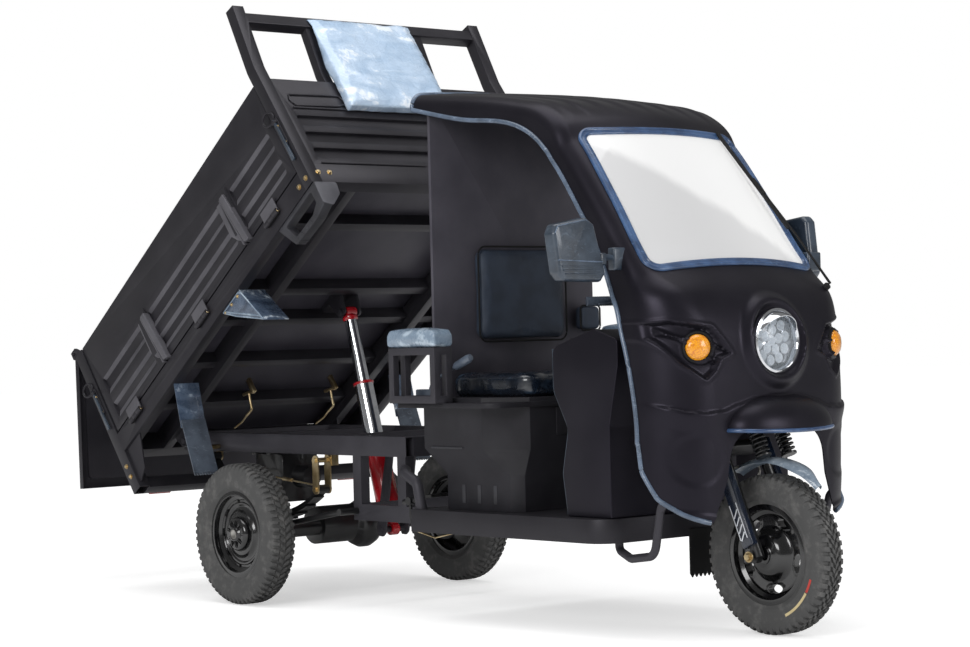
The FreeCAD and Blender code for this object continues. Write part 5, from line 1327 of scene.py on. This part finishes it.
# the kind's numbers are the grid's size, how far a point may move, and its folds' height
def stuffed(bm, kind):
    voxel, limit, fold = pads[kind]
    mesh = modified(meshOf(bm, "stuffed"), "REMESH", mode="VOXEL", voxel_size=voxel)
    start = [vert.co.copy() for vert in mesh.vertices]
    obj = workObject(mesh)
    cloth = obj.modifiers.new("cloth", "CLOTH").settings
    cloth.quality = 6
    cloth.use_pressure = True
    cloth.uniform_pressure_force = 4.0
    cloth.effector_weights.gravity = 0
    for frameNumber in range(1, 21):
        scene.frame_set(frameNumber)
    mesh = bakedMesh(obj)
    scene.frame_set(1)
    for vert, place in zip(mesh.vertices, start):
        shift = vert.co - place
        if shift.length > limit:
            vert.co = place + shift.normalized() * limit
    normals = [vert.normal.copy() for vert in mesh.vertices]
    for vert, normal in zip(mesh.vertices, normals):
        ripple = noise.noise(vert.co * 9) + 0.5 * noise.noise(vert.co * 23)
        vert.co += normal * ripple * fold / 1000
    return modified(mesh, "SUBSURF", levels=1, render_levels=1)


def addPad(name, bm, kind, finish, body, slotName, stands, fill):
    pad = addPiece(name, stuffed(bm, kind), finish, body, slotName, 180, *stands)


def softSlab(corners, radii, place, low, high, width):
    outline = roundedPath(corners, radii, 6)
    return slab(outline, place, low, high, width, 3)


wallFace = 1000.5    # the rear wall's front face, in millimetres


def wallPlace(a, b, depth):    # across, up and forward of the cab's rear wall
    return at(wallFace + depth, a, b)


seat = {
    "cushion": rectangle(1008, 1446, -352, 352), "cushionSpan": (794, 866),
    "back": rectangle(-210, 210, 988, 1326), "bolster": rectangle(287, 381, 1021, 1107), "padSpan": (3, 49),
    "arm": ((940, 973), (1206, 973), (1206, 1012), (1190, 1032), (956, 1032), (940, 1012)),
    "armSpan": (475, 565), "fill": 0.7, "armFill": 0.6, "piping": 0.0034,
}


def seatPieces():
    cushion = softSlab(seat["cushion"], 58, at, *seat["cushionSpan"], 0.018)
    addPad("seatCushion", cushion, "seat", "seatFilm", "chassis", "seat_vinyl", ("seat_cushion",),
           seat["fill"])
    back = softSlab(seat["back"], 34, wallPlace, *seat["padSpan"], 0.014)
    addPad("backPad", back, "back", "vinyl", "chassis", "seat_vinyl", ("backrest",), seat["fill"])
    bolster = softSlab(seat["bolster"], 16, wallPlace, *seat["padSpan"], 0.014)
    addPad("backBolster", bolster, "arm", "vinyl", "chassis", "seat_vinyl", (), seat["fill"])
    pipes = []
    for corners, radius in ((rectangle(-213, 213, 985, 1329), 34),
                            (rectangle(284, 384, 1018, 1110), 16)):
        outline = roundedPath(corners, radius, 8)
        pipes.append(sweptTube([wallPlace(p.x, p.y, 42) for p in outline], seat["piping"], 8, True))
    addPiece("backPiping", pipes, "rubber", "chassis", "seat_vinyl", 60)
    for side, word in sides:
        near, far = seat["armSpan"]

        pad = softSlab(seat["arm"], 8, sidePlace, side * near, side * far, 0.010)
        addPad("armPad" + word, pad, "arm", "armFilm", "chassis", "film_pad", ("armrest_pads",),
               seat["armFill"])


rackPad = {"back": 1713, "span": (-281, 236), "fill": 0.5}


def rackPadPiece():
    back = rackPad["back"]
    lean = 46 * (798 - 575) / (850 - 575)
    face = 1712 - 25 + lean + 22
    corners = [(back, 352), (back + 40, 352), (back + 46, 600), (back + 46, 812), (back + 36, 826),
               (face - 40, 828), (face - 40, 824), (face + 3, 822), (face + 3, 770), (back + 2, 588)]
    pad = prism(corners, lambda a, b, depth: bedAt(a, depth, b), *rackPad["span"])
    addPad("rackPadFilm", pad, "rack", "padFilm", "bed", "film_pad", ("rack_pad",), rackPad["fill"])


seatPieces()
rackPadPiece()
print("pads blown up")


# The bed's fittings

fittings = {
    "ribStarts": (1190, 467), "hinges": (230, 846, 1446), "posts": (1687, 27.5), "hooks": 207,
}


def bedSide(side):    # along, up and out from the bed's middle, in millimetres
    return lambda a, b, depth: bedAt(a, side * depth, b)


def gateRibs():
    for side, word in sides:
        parts, ribs = [], []
        place = bedSide(side)
        for start in fittings["ribStarts"]:
            plateLine = [(start + a, h) for a, h in ((2, 322), (44, 322), (52, 116), (30, 132), (3, 176))]
            ribs.append(slab(plateLine, place, 596, 617, 0.003))
            for a0, a1, width, top in ((60, 84, 15, 628), (38, 58, 5, 623)):
                rail = [(start + a0 - width, 326), (start + a0 + width, 326), (start + a1 + width, 84),
                        (start + a1 - width, 92)]
                ribs.append(slab(rail, place, 598, top, 0.003, 3))
        for low, high in ((128, 204), (244, 330)):    # the troughs' slopes, in the lighter finish as painted highlight
            for start, end in ((102, 470), (540, 1211), (1281, 1615)):
                for line in (((low + 2.5, 605.6), (low + 2.5, 593.3), (low + 30, 593.3)),
                             ((high - 2.5, 605.6), (high - 2.5, 593.3), (high - 14, 593.3))):
                    parts.append(prism(line, lambda a, b, depth: place(depth, a, b),
                                       start + 8, end - 8))
        for station in fittings["hinges"]:
            ribs.append(bedBlock((station - 49, side * 616, 56), (station + 49, side * 621, 110), 1, 3))
        body = "side_gate_" + word.lower()
        # the slopes and ribs take the lighter finish: painted highlight
        addPiece("gateSlopes" + word, parts, "gateSheen", body, "bed_black", 34)
        addPiece("gateRibs" + word, ribs, "gateSheen", body, "bed_black", 34)


def postFittings():
    latches, bright, plugsAndShadedBarrels, filmed = [], [], [], []
    for side in (-1, 1):
        place = bedSide(side)
        out = Vector((0, side, 0))
        for post in fittings["posts"]:
            base = roundedPath(rectangle(post - 13, post + 13, 204, 330), 6, 3)
            latches.append(slab(base, place, 610.3, 615, 0.001))
            lever = roundedPath([(post - 7, 128), (post + 8, 126), (post + 5, 240), (post + 3, 322),
                                 (post - 8, 322), (post - 6, 240)], 4, 3)
            filmed.append(slab(lever, place, 615, 622, 0.0016))
            latches.append(roller(-0.012, 0.012, 0.006, place(post - 2, 312, 620), bedForward, 14))
            ring = [place(post - 26 + 27 * math.cos(2 * math.pi * k / 28),
                          347 + 27 * math.sin(2 * math.pi * k / 28), 619 - 6 * math.cos(2 * math.pi * k / 28))
                    for k in range(28)]
            latches.append(sweptTube(ring, 0.0042, 8, True, 1.0, out))
            latches.append(sweptTube([place(post - 2, 310, 620), place(post - 8, 326, 621)], 0.004, 8))
            for spot in (214, 236, 292):
                bright += bolt(place(post + (0 if spot != 236 else -2), spot, 615), out, 0.0048)
            plugsAndShadedBarrels.append(bedBlock((post - 22, side * 585 - 22, 517), (post + 22, side * 585 + 22, 524), 3, 3))
        for a, h in ((1691, 35), (1640, 35)):
            bright += bolt(place(a, h, 610), out, 0.0075)
        for y in (561, 509):
            bright += bolt(bedAt(1712, side * y, 47), bedForward, 0.0075)
        for h in (-60, -110):
            bright += bolt(place(27, h, 610), out, 0.007)
        for station in fittings["hinges"]:
            # a rubber-black block over each hinge barrel: painted shade for the dark slot round the barrel
            plugsAndShadedBarrels.append(bedBlock((station - 45, side * 611, 39), (station + 45, side * 626, 61), 5, 3))
            plugsAndShadedBarrels.append(bedBlock((station - 14, side * 625, 44), (station + 14, side * 628, 56), 1, 3))
            for shift in (-48, 48):
                bright.append(dome(place(station + shift, 50, 620),
                                   bedForward * (1 if shift > 0 else -1), 0.0075, 0.006))
    addPiece("postLatches", latches, "bedPowder", "bed", "bed_black", 34, "gate_latches")
    addPiece("latchLevers", filmed, "mirrorBlue", "bed", "bed_black", 34)
    addPiece("bedBolts", bright, "zincGold", "bed", "zinc_gold", 30)
    # the post caps are rubber; the hinge barrels are black as painted shade
    addPiece("bedPlugs", plugsAndShadedBarrels, "rubber", "bed", "rubber_black", 34)


def headboardBeads():
    parts = []
    for side in (-1, 1):
        for line in (((-513, 438), (-278, 442), (-262, 424), (-262, 398), (-304, 388), (-498, 384),
                      (-519, 409)), ((-520, 372), (-24, 372)), ((-520, 96), (-24, 96))):
            points = [bedAt(1712.5, side * y, h) for y, h in line]
            parts.append(sweptTube(points, 0.0042, 8, len(line) > 2, 0.6, bedForward))
    addPiece("headboardBeads", parts, "bedPowder", "bed", "bed_black", 40)


guard = {
    "bolts": (962, 1012, 1062), "teeth": 9, "flap": (484, 596),
    "folds": ((476, -50), (461, -84), (452, -104)),
    "creases": (((949, -3), (1010, -66), (1141, -184)), ((948, -3), (1086, -3), (1140, -184)),
                ((962, -8), (1022, -62), (1136, -166))),
}


def guardPieces():
    bolts, creaseHighlights, teeth, folds = [], [], [], []
    for side in (-1, 1):
        place = bedSide(side)
        out = Vector((0, side, 0))
        for a in guard["bolts"]:
            bolts += bolt(place(a, -12, 598.2), out, 0.005)
        # real creases in the film, drawn as tubes in the lighter arm film: painted highlight along each
        # crease
        for line in guard["creases"]:
            creaseHighlights.append(sweptTube(roundedPath([place(a, h, 599) for a, h in line], 0.02, 4, False), 0.0032,
                                   8, False, 0.5, out))
        low, high = sorted(side * y for y in guard["flap"])
        for k in range(guard["teeth"]):
            y = low + (high - low) * (k + 0.5) / guard["teeth"]
            tooth = [(y - 5, 0), (y + 5, 0), (y + 3.4, -9), (y - 3.4, -9)]
            foot, up = bedAt(387, 0, -354), bedAt(444, 0, -140) - bedAt(387, 0, -354)
            up.normalize()
            teeth.append(prism(tooth, lambda a, b, depth: foot + (up * b + bedForward * depth)
                               / 1000 + acrossAxis * (a / 1000), -3, 2))
        for k, (a, h) in enumerate(guard["folds"]):
            line = [bedAt(a - 5, side * y, h + 7 * math.sin(y / 17 + k)) for y in range(486, 598, 8)]
            folds.append(sweptTube(line, 0.0042, 8, False, 0.7, bedForward))
    addPiece("guardBolts", bolts, "zincGold", "bed", "zinc_gold", 30)
    # the crease and fold tubes take the lighter film: painted highlight
    addPiece("guardFilm", creaseHighlights + folds, "armFilm", "bed", "film_pad", 60)
    addPiece("flapTeeth", teeth, "filmedRubber", "bed", "rubber_black", 30)


def loopPieces():
    parts, plates = [], []
    for side in (-1, 1):
        place = bedSide(side)
        for k in range(5):
            a = 1500 + 34 * k
            parts.append(slab(((a, -92), (a + 5, -92), (a + 14, -114), (a + 9, -114)),
                              place, 562, 606, 0.001, 1))
        front = roundedPath([(502, -2), (604, -2), (608, -100), (566, -112), (512, -58)], 10, 4)
        plates.append(slab(front, lambda a, b, depth: bedAt(depth, side * a, b), 1711.5, 1716, 0.002))
    addPiece("loopRibs", parts, "loopGrey", "bed", "loop_grey", 34)
    addPiece("loopPlates", plates, "loopLight", "bed", "loop_grey", 34)


gateRibs()
postFittings()
headboardBeads()
guardPieces()
loopPieces()
print("bed fittings on")


# Hoist

hoistFoot = at(240, 0, 260)
hoistEye = bedAt(954, 0, -12)
hoistAxis = (hoistEye - hoistFoot).normalized()
hoistLength = (hoistEye - hoistFoot).length
hoist = {"barrel": 0.333, "stroke": 0.252984, "radii": (0.046, 0.037, 0.026)}


def hoistEyeRing(half, bore, outer, centre):    # the eye at either end, on its cross pin
    return lathe([(-half, bore), (-half, outer), (half, outer), (half, bore), (-half, bore)],
                 centre, acrossAxis, 32)


def hoistPieces():
    barrelEnd, stroke = hoist["barrel"], hoist["stroke"]
    outer, middle, inner = hoist["radii"]

    def run(profile, steps=48):
        return lathe(profile, hoistFoot, hoistAxis, steps)
    barrel = [run([(0.03, 0), (0.03, outer - 0.006), (0.036, outer), (barrelEnd - 0.03, outer),
                   (barrelEnd - 0.028, outer + 0.004), (barrelEnd - 0.004, outer + 0.004),
                   (barrelEnd, outer + 0.001), (barrelEnd, middle + 0.001), (0.042, middle + 0.001),
                   (0.042, 0)]), hoistEyeRing(0.016, 0.0125, 0.024, hoistFoot),
              run([(0.018, 0), (0.018, 0.020), (0.034, 0.022), (0.034, 0)], 24)]
    addPiece("hoistBarrelSkin", barrel, "hoistRed", "hoist_barrel", "hoist_red", 40, "hoist_barrel")
    end = barrelEnd + 0.004 + stroke
    tube = run([(0.06 + stroke, 0), (0.06 + stroke, middle), (end, middle), (end, inner + 0.001),
                (0.068 + stroke, inner + 0.001), (0.068 + stroke, 0)])
    addPiece("hoistStageOne", tube, "chrome", "hoist_stage_1", "chrome", 40, "hoist_stage_1")
    ring = run([(end - 0.0025, middle + 0.0005), (end - 0.0025, middle + 0.004),
                (end + 0.006, middle + 0.004), (end + 0.009, middle + 0.001), (end + 0.009, inner + 0.001),
                (end + 0.0005, inner + 0.001), (end + 0.0005, middle + 0.0005),
                (end - 0.0025, middle + 0.0005)])
    addPiece("hoistRing", ring, "hoistRed", "hoist_stage_1", "hoist_red", 40)
    top = hoistLength
    rod = run([(0.09 + 2 * stroke, 0), (0.09 + 2 * stroke, inner), (top - 0.03, inner), (top - 0.03, 0)])
    addPiece("hoistStageTwo", rod, "chrome", "hoist_stage_2", "chrome", 40, "hoist_stage_2")
    low = end + stroke + 0.011    # the head stops just over the ring when the bed is down
    head = [run([(low, 0), (low, 0.0265), (low + 0.006, 0.031), (top - 0.022, 0.031), (top - 0.014, 0.024),
                 (top - 0.014, 0)], 32), hoistEyeRing(0.024, 0.0122, 0.0225, hoistEye)]
    addPiece("hoistHead", head, "hoistRed", "hoist_stage_2", "hoist_red", 40)


hoistPieces()
print("hoist dressed")


# Mirrors, wiper, handlebar and cables

mirror = {
    "open": ((544, 1196), (566, 1168), (726, 1172), (748, 1196), (768, 1322), (752, 1352), (624, 1374),
             (590, 1352)),
    "folded": ((1846, 1196), (1866, 1172), (2010, 1172), (2030, 1196), (2010, 1376), (1990, 1396),
               (1886, 1384), (1860, 1356)), "edge": 0.013, "arm": 0.0105,
    "blocks": (((1986, -468, 1207), (2018, -402, 1281)), ((2004, -548, 1222), (2040, -520, 1262)),
               ((2046, 402, 1200), (2078, 468, 1266))),
}


def mirrorPieces():
    def rightPlace(a, b, depth):
        return at(depth, -a, b)
    parts = [softSlab(mirror["open"], [14, 12, 12, 14, 18, 16, 16, 14], rightPlace, 2006, 2060,
                      mirror["edge"])]
    for low, high in mirror["blocks"]:
        parts.append(groundBlock(low, high, 6, 3))
    parts.append(sweptTube([at(2002, -456, 1247), at(2010, -500, 1250), at(2022, -548, 1244)],
                           mirror["arm"], 16))
    parts.append(softSlab(mirror["folded"], [14, 12, 12, 14, 14, 16, 16, 14], sidePlace, 472, 522,
                          mirror["edge"]))
    parts.append(sweptTube([at(2062, 456, 1232), at(2044, 480, 1234), at(2020, 496, 1232)],
                           mirror["arm"], 16))
    for z, reach in ((1216, 170), (1204, 164), (1192, 156)):
        line = [at(2059.5, -(566 + 4), z), at(2060.5, -(566 + reach), z + 2)]
        parts.append(sweptTube(line, 0.0028, 8))
    addPiece("mirrorHousings", parts, "mirrorBlue", "chassis", "moulding_black", 40, "mirrors")
    edges = [sweptTube(roundedPath([at(2056, -596, 1345), at(2057, -628, 1366), at(2057, -748, 1345),
                                    at(2056, -760, 1322)], 0.008, 4, False), 0.0026, 8),
             sweptTube([at(2060.6, -560, 1232), at(2060.6, -752, 1238)], 0.0024, 8)]
    addPiece("mirrorFilmEdges", edges, "edgeTrim", "chassis", "rubber_blue", 60)


wiper = {"foot": (2300, 368, 1164), "tip": (282, 606), "rise": 0.022, "clear": 0.014}


def wiperPieces():
    foot, outward = onSkin(at(*wiper["foot"]), Vector((-1, 0, -0.2)).normalized())
    start = foot + outward * wiper["rise"]
    tip, lift = onSkin(panePlace(*wiper["tip"], 80), -paneOut)
    tip += lift * wiper["clear"]
    parts = [lathe([(-0.02, 0), (-0.02, 0.0125), (0.012, 0.0125), (0.016, 0.009), (0.018, 0)], foot, outward,
                   24)]
    parts.append(sweptTube([start, start.lerp(tip, 0.3) + outward * 0.006,
                            start.lerp(tip, 0.62) + outward * 0.004],
                           lambda share: 0.0065 - 0.0025 * share, 10, False, 0.7, outward))
    parts.append(sweptTube([start.lerp(tip, 0.58) + outward * 0.004,
                            start.lerp(tip, 0.68) + outward * 0.002], 0.006, 10))
    blade = [start.lerp(tip, 0.36) - outward * 0.002, start.lerp(tip, 1.0) - outward * 0.002]
    parts.append(sweptTube(blade, 0.0042, 8, False, 1.6, outward))
    addPiece("wiperArm", parts, "rubber", "chassis", "rubber_black", 40, "wiper")


def barPoint(x, y, z):    # millimetres from the top of the steering stem
    return steerAt(540, 0, 0) + Vector((x, y, z)) / 1000


barMatrix = Matrix.Translation(barPoint(0, 0, 0)) @ Matrix.Scale(0.001, 4)


bar = {"tube": 0.0108, "grip": 0.0165, "groove": 0.0148, "grooves": 14, "lever": 0.0055, "cable": 0.007}


def handlebarPieces():
    low = steerAt(350.5, 0, 0)
    parts = [roller(0, 0.188, 0.0195, low, stemAxis, 28)]
    line = []
    for side in (-1, 1):
        half = [barPoint(0, 0, -6), barPoint(-6, side * 90, 14), barPoint(-70, side * 190, 60),
                barPoint(-150, side * 330, 60)]
        line.append(roundedPath(half, [0, 0.04, 0.06, 0], 8, False))
    parts.append(sweptTube(line[0][::-1] + line[1][1:], bar["tube"], 16))
    parts.append(moved(softBlock((-22, -24, -22), (22, 24, 14), 5, 3), barMatrix))
    addPiece("barTube", parts, "axleBlack", "steering", "frame_black", 40, "handlebar")
    grips = []
    for side in (-1, 1):
        start, end = barPoint(-106, side * 252, 60), barPoint(-150, side * 330, 60)
        length = (end - start).length
        profile = [(0, 0), (0, bar["grip"])]
        for k in range(bar["grooves"]):
            spot = length * (k + 0.5) / bar["grooves"]
            profile += [(spot - 0.0018, bar["grip"]), (spot - 0.0008, bar["groove"]),
                        (spot + 0.0008, bar["groove"]), (spot + 0.0018, bar["grip"])]
        profile += [(length - 0.001, 0.0168), (length, 0.015), (length, 0)]
        grips.append(lathe(profile, start, end - start, 24))
        lever = [barPoint(-84, side * 214, 58), barPoint(-74, side * 232, 54), barPoint(-104, side * 318, 50)]
        grips.append(sweptTube(roundedPath(lever, 0.01, 3, False), bar["lever"], 8, False, 0.6))
        grips.append(moved(softBlock((-100, side * 196, 44), (-66, side * 236, 80), 5, 3), barMatrix))
    addPiece("barGrips", grips, "filmedRubber", "steering", "rubber_black", 40)


def cablePiece(name, corners, diameter):
    path = roundedPath(corners, 0.05, 12, False)
    dense = refined(path, 0.008) + [path[-1]]
    piece = addPiece(name, sweptTube(dense, diameter / 2, 10), "rubber", "steering", "rubber_black", 60)
    length = sum((b - a).length for a, b in zip(dense, dense[1:]))
    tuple(dense[0])
    print(name, "length", round(length, 3))


mirrorPieces()
wiperPieces()
handlebarPieces()
for side, word in sides:
    cablePiece("gripCable" + word, [barPoint(-68, side * 200, 66), barPoint(-10, side * 196, 84),
                                    barPoint(34, side * 120, 40), barPoint(44, side * 40, -36),
                                    steerAt(430, 24, side * 14)], bar["cable"])
print("controls fitted")


# Cab fittings

def brakeLever():
    black = []
    lever = [at(1060, -470, 800), at(1076, -470, 838), at(1120, -468, 866), at(1180, -466, 893),
             at(1206, -466, 902)]
    black.append(sweptTube(roundedPath(lever, 0.02, 4, False), 0.0085, 12, False, 0.7))
    black.append(lathe([(0, 0), (0, 0.013), (0.012, 0.0155), (0.075, 0.0155), (0.086, 0.012), (0.09, 0)],
                       at(1204, -466, 901), Vector((0.93, 0, 0.36)), 20))
    black.append(groundBlock((1000, -486, 776), (1096, -454, 822), 5, 3))
    addPiece("brakeLever", black, "filmedRubber", "chassis", "rubber_black", 40)


# corners, radii, steps, from and to across, edge, its segments: each knee's box, then its post
kneeForms = ((((1723, 396), (1934, 396), (1934, 700), (1980, 900), (1980, 984), (1869, 1020), (1664, 961),
               (1666, 812), (1735, 689), (1703, 540)), (4, 4, 80, 60, 20, 60, 40, 80, 90, 60), 6, 166, 429.5,
              0.020, 4), (((1902, 396), (1934, 396), (1934, 700), (1976, 900), (1976, 984), (1869, 1018),
                           (1826, 1000), (1822, 905), (1870, 890), (1902, 860)),
                          (2, 2, 80, 60, 20, 60, 10, 10, 20, 20), 4, 72, 168, 0.002, 2))


def kneePieces():
    grey, light, panels, knees = [], [], [], []
    for side in (-1, 1):
        for a, b in ((1147, 1165), (1230, 1248), (1316, 1334)):
            grey.append(groundBlock((a, side * 401, 420), (b, side * 404, 484), 1.2))
        grey.append(groundBlock((1041, side * 449, 612), (1212, side * 453, 619), 1.2))
        for corners, radii, steps, near, far, width, segments in kneeForms:
            knees.append(slab(roundedPath(corners, radii, steps), sidePlace,
                              side * near, side * far, width, segments))
        edge = [(1664, 955), (1666, 815), (1735, 689), (1703, 540), (1722, 404)]
        line = roundedPath([at(a - 1, side * 424, b) for a, b in edge], 0.06, 6, False)
        light.append(sweptTube(line, 0.0036, 8))
        corner = [at(1318, side * 342, z) for z in (585, 700)] + [at(1436, side * 250, z) for z in (668, 530)]
        panels.append(sweptTube(roundedPath(corner, 0.012, 4), 0.004, 8, True))
    for y, z, wide, tall in ((-215, 655, 70, 96), (-120, 560, 210, 12), (-80, 470, 180, 84),
                             (40, 655, 90, 96)):
        panels.append(groundBlock((1438, y, z), (1443, y + wide, z + tall), 2))
    addPiece("basePanels", panels, "moulding", "chassis", "moulding_black", 34)
    addPiece("baseSlots", grey, "loopGrey", "chassis", "moulding_black", 34)
    addPiece("kneePanels", knees, "cabSkin", "chassis", "moulding_black", 50, "leg_shield")
    addPiece("kneeEdges", light, "mirrorBlue", "chassis", "rubber_blue", 60)


def brakeLinkage():
    linkage = [sweptTube([at(862, -440, 414), at(934, -440, 426)], 0.010, 12),
               sweptTube(roundedPath([at(905, -444, 420), at(906, -444, 364), at(920, -444, 317)],
                                     0.01, 3, False), 0.0065, 10),
               roller(-0.012, 0.012, 0.015, at(905, -444, 420), acrossAxis, 20)]
    addPiece("brakeLinkage", linkage, "axleBlack", "chassis", "frame_black", 40)


def hookPieces():
    hooks = []
    for side in (-1, 1):
        def spots(*pairs):
            return [bedAt(a, side * fittings["hooks"], h) for a, h in pairs]
        hooks.append(sweptTube(spots((400, 4), (436, -12), (472, -28)), 0.007, 10))
        hooks.append(sweptTube(roundedPath(spots((436, -12), (420, -46), (410, -78), (364, -74)),
                                           0.01, 3, False), 0.0055, 10))
        hooks.append(sweptTube(spots((366, -74), (326, -76), (262, -62)), 0.0038, 8))
        hooks.append(bedBlock((456, side * fittings["hooks"] - 8, -34),
                              (478, side * fittings["hooks"] + 8, 33), 3))
    addPiece("bedHooks", hooks, "zincGold", "bed", "zinc_gold", 40, "hold_down_hooks")


def brakeRod():
    rod = [at(-300, -352, 498), at(60, -372, 470), at(330, -388, 448)]
    brass = [sweptTube([at(920, -444, 317), at(1035, -440, 294), at(1174, -436, 322)], 0.003, 8),
             sweptTube(rod, 0.0035, 8),
             roller(-0.03, 0.03, 0.008, at(60, -372, 470), Vector((1, -0.05, -0.08)), 6)]
    addPiece("brakeRod", brass, "zincGold", "chassis", "zinc_gold", 40)


brakeLever()
kneePieces()
brakeLinkage()
hookPieces()
brakeRod()
print("cab fitted out")


# Floor, light and camera

view = {
    "focal": 2419.5, "width": 970.0, "place": (7006, -5822.5, 1004), "azimuth": 49.088, "elevation": -0.211,
    "roll": -1.487, "centre": (495.2, 327.13), "middle": (485.0, 323.5),
}
studio = {    # strengths of the world and the floor, and each lamp's place, target, size and power
    "ambient": 0.5, "sheen": 0.22, "glow": 5.1, "floor": 0.93,
    "softboxes": (("overhead", (0.5, -0.5, 5.5), (0, 0, 0.6), (5.5, 3.5), 130),
                  ("frontLeft", (3.0, -6.5, 3.4), (0.2, 0, 0.9), (3.5, 2.5), 190),
                  ("noseSide", (7.5, 1.5, 2.6), (1.2, 0, 0.9), (2.5, 2.5), 120)),
}


def addCamera():
    data = bpy.data.cameras.new("photoView")
    data.sensor_width = 36
    data.lens = view["focal"] / view["width"] * data.sensor_width
    data.shift_x = -(view["centre"][0] - view["middle"][0]) / view["width"]
    data.shift_y = (view["centre"][1] - view["middle"][1]) / view["width"]
    azimuth, elevation, roll = (math.radians(view[key]) for key in ("azimuth", "elevation", "roll"))
    ahead = Vector((-math.sin(azimuth) * math.cos(elevation), math.cos(azimuth) * math.cos(elevation),
                    -math.sin(elevation)))
    right = ahead.cross(Vector((0, 0, 1))).normalized()
    up = right.cross(ahead)
    turnedRight = right * math.cos(roll) + up * math.sin(roll)
    turnedUp = up * math.cos(roll) - right * math.sin(roll)
    camera = bpy.data.objects.new("photoView", data)
    basis = Matrix((turnedRight, turnedUp, -ahead)).transposed().to_4x4()
    basis.translation = Vector(view["place"]) / 1000
    camera.matrix_world = basis
    scene.collection.objects.link(camera)
    scene.camera = camera


def addFloor():
    bm = bmesh.new()
    bmesh.ops.create_grid(bm, x_segments=1, y_segments=1, size=40)
    mesh = meshOf(bm, "floor")
    floor = bpy.data.objects.new("floor", mesh)
    floor.location.z = -0.0005
    scene.collection.objects.link(floor)
    finish = Finish("floorWhite", gloss=0.0)
    finish.surface(baseColor=(studio["floor"],) * 3, roughness=0.9)
    glow = finish.node("ShaderNodeEmission", None, {"Color": (1, 1, 1), "Strength": studio["glow"]})
    ray = finish.node("ShaderNodeLightPath", None, None, "Is Camera Ray")
    x, y = finish.axis("X"), finish.axis("Y")
    reach = x * x + y * y    # the lamps light the floor near the vehicle, the glow does the rest
    share = 0.098 + reach.ramp(6, 28) * 0.024
    mixed = finish.node("ShaderNodeMixShader", None,
                        {0: ray * share, 1: Signal(finish, finish.shader.outputs[0]), 2: glow})
    finish.tree.links.new(mixed.socket, finish.tree.nodes["Material Output"].inputs[0])
    mesh.materials.append(finish.material)


def addWorld():
    world = bpy.data.worlds.new("studio")
    scene.world = world
    world.use_nodes = True
    tree = world.node_tree
    rays = tree.nodes.new("ShaderNodeLightPath")

    def glow(strength):
        made = tree.nodes.new("ShaderNodeBackground")
        made.inputs["Color"].default_value = (1, 1, 1, 1)
        made.inputs["Strength"].default_value = strength
        return made.outputs[0]

    def choice(ray, other, chosen):
        made = tree.nodes.new("ShaderNodeMixShader")
        for socket, source in zip(made.inputs, (rays.outputs[ray], other, chosen)):
            tree.links.new(source, socket)
        return made.outputs[0]
    lit = choice("Is Glossy Ray", glow(studio["ambient"]), glow(studio["sheen"]))
    tree.links.new(choice("Is Camera Ray", lit, glow(1.0)), tree.nodes["World Output"].inputs[0])


def addSoftbox(name, place, target, size, power):
    data = bpy.data.lights.new(name, "AREA")
    data.shape = "RECTANGLE"
    data.size, data.size_y = size
    data.energy = power
    lamp = bpy.data.objects.new(name, data)
    lamp.location = place
    lamp.rotation_euler = (Vector(target) - Vector(place)).to_track_quat("-Z", "Y").to_euler()
    scene.collection.objects.link(lamp)


addCamera()
addFloor()
addWorld()
for softbox in studio["softboxes"]:
    addSoftbox(*softbox)
scene.view_settings.view_transform = "Standard"
print("stage set")
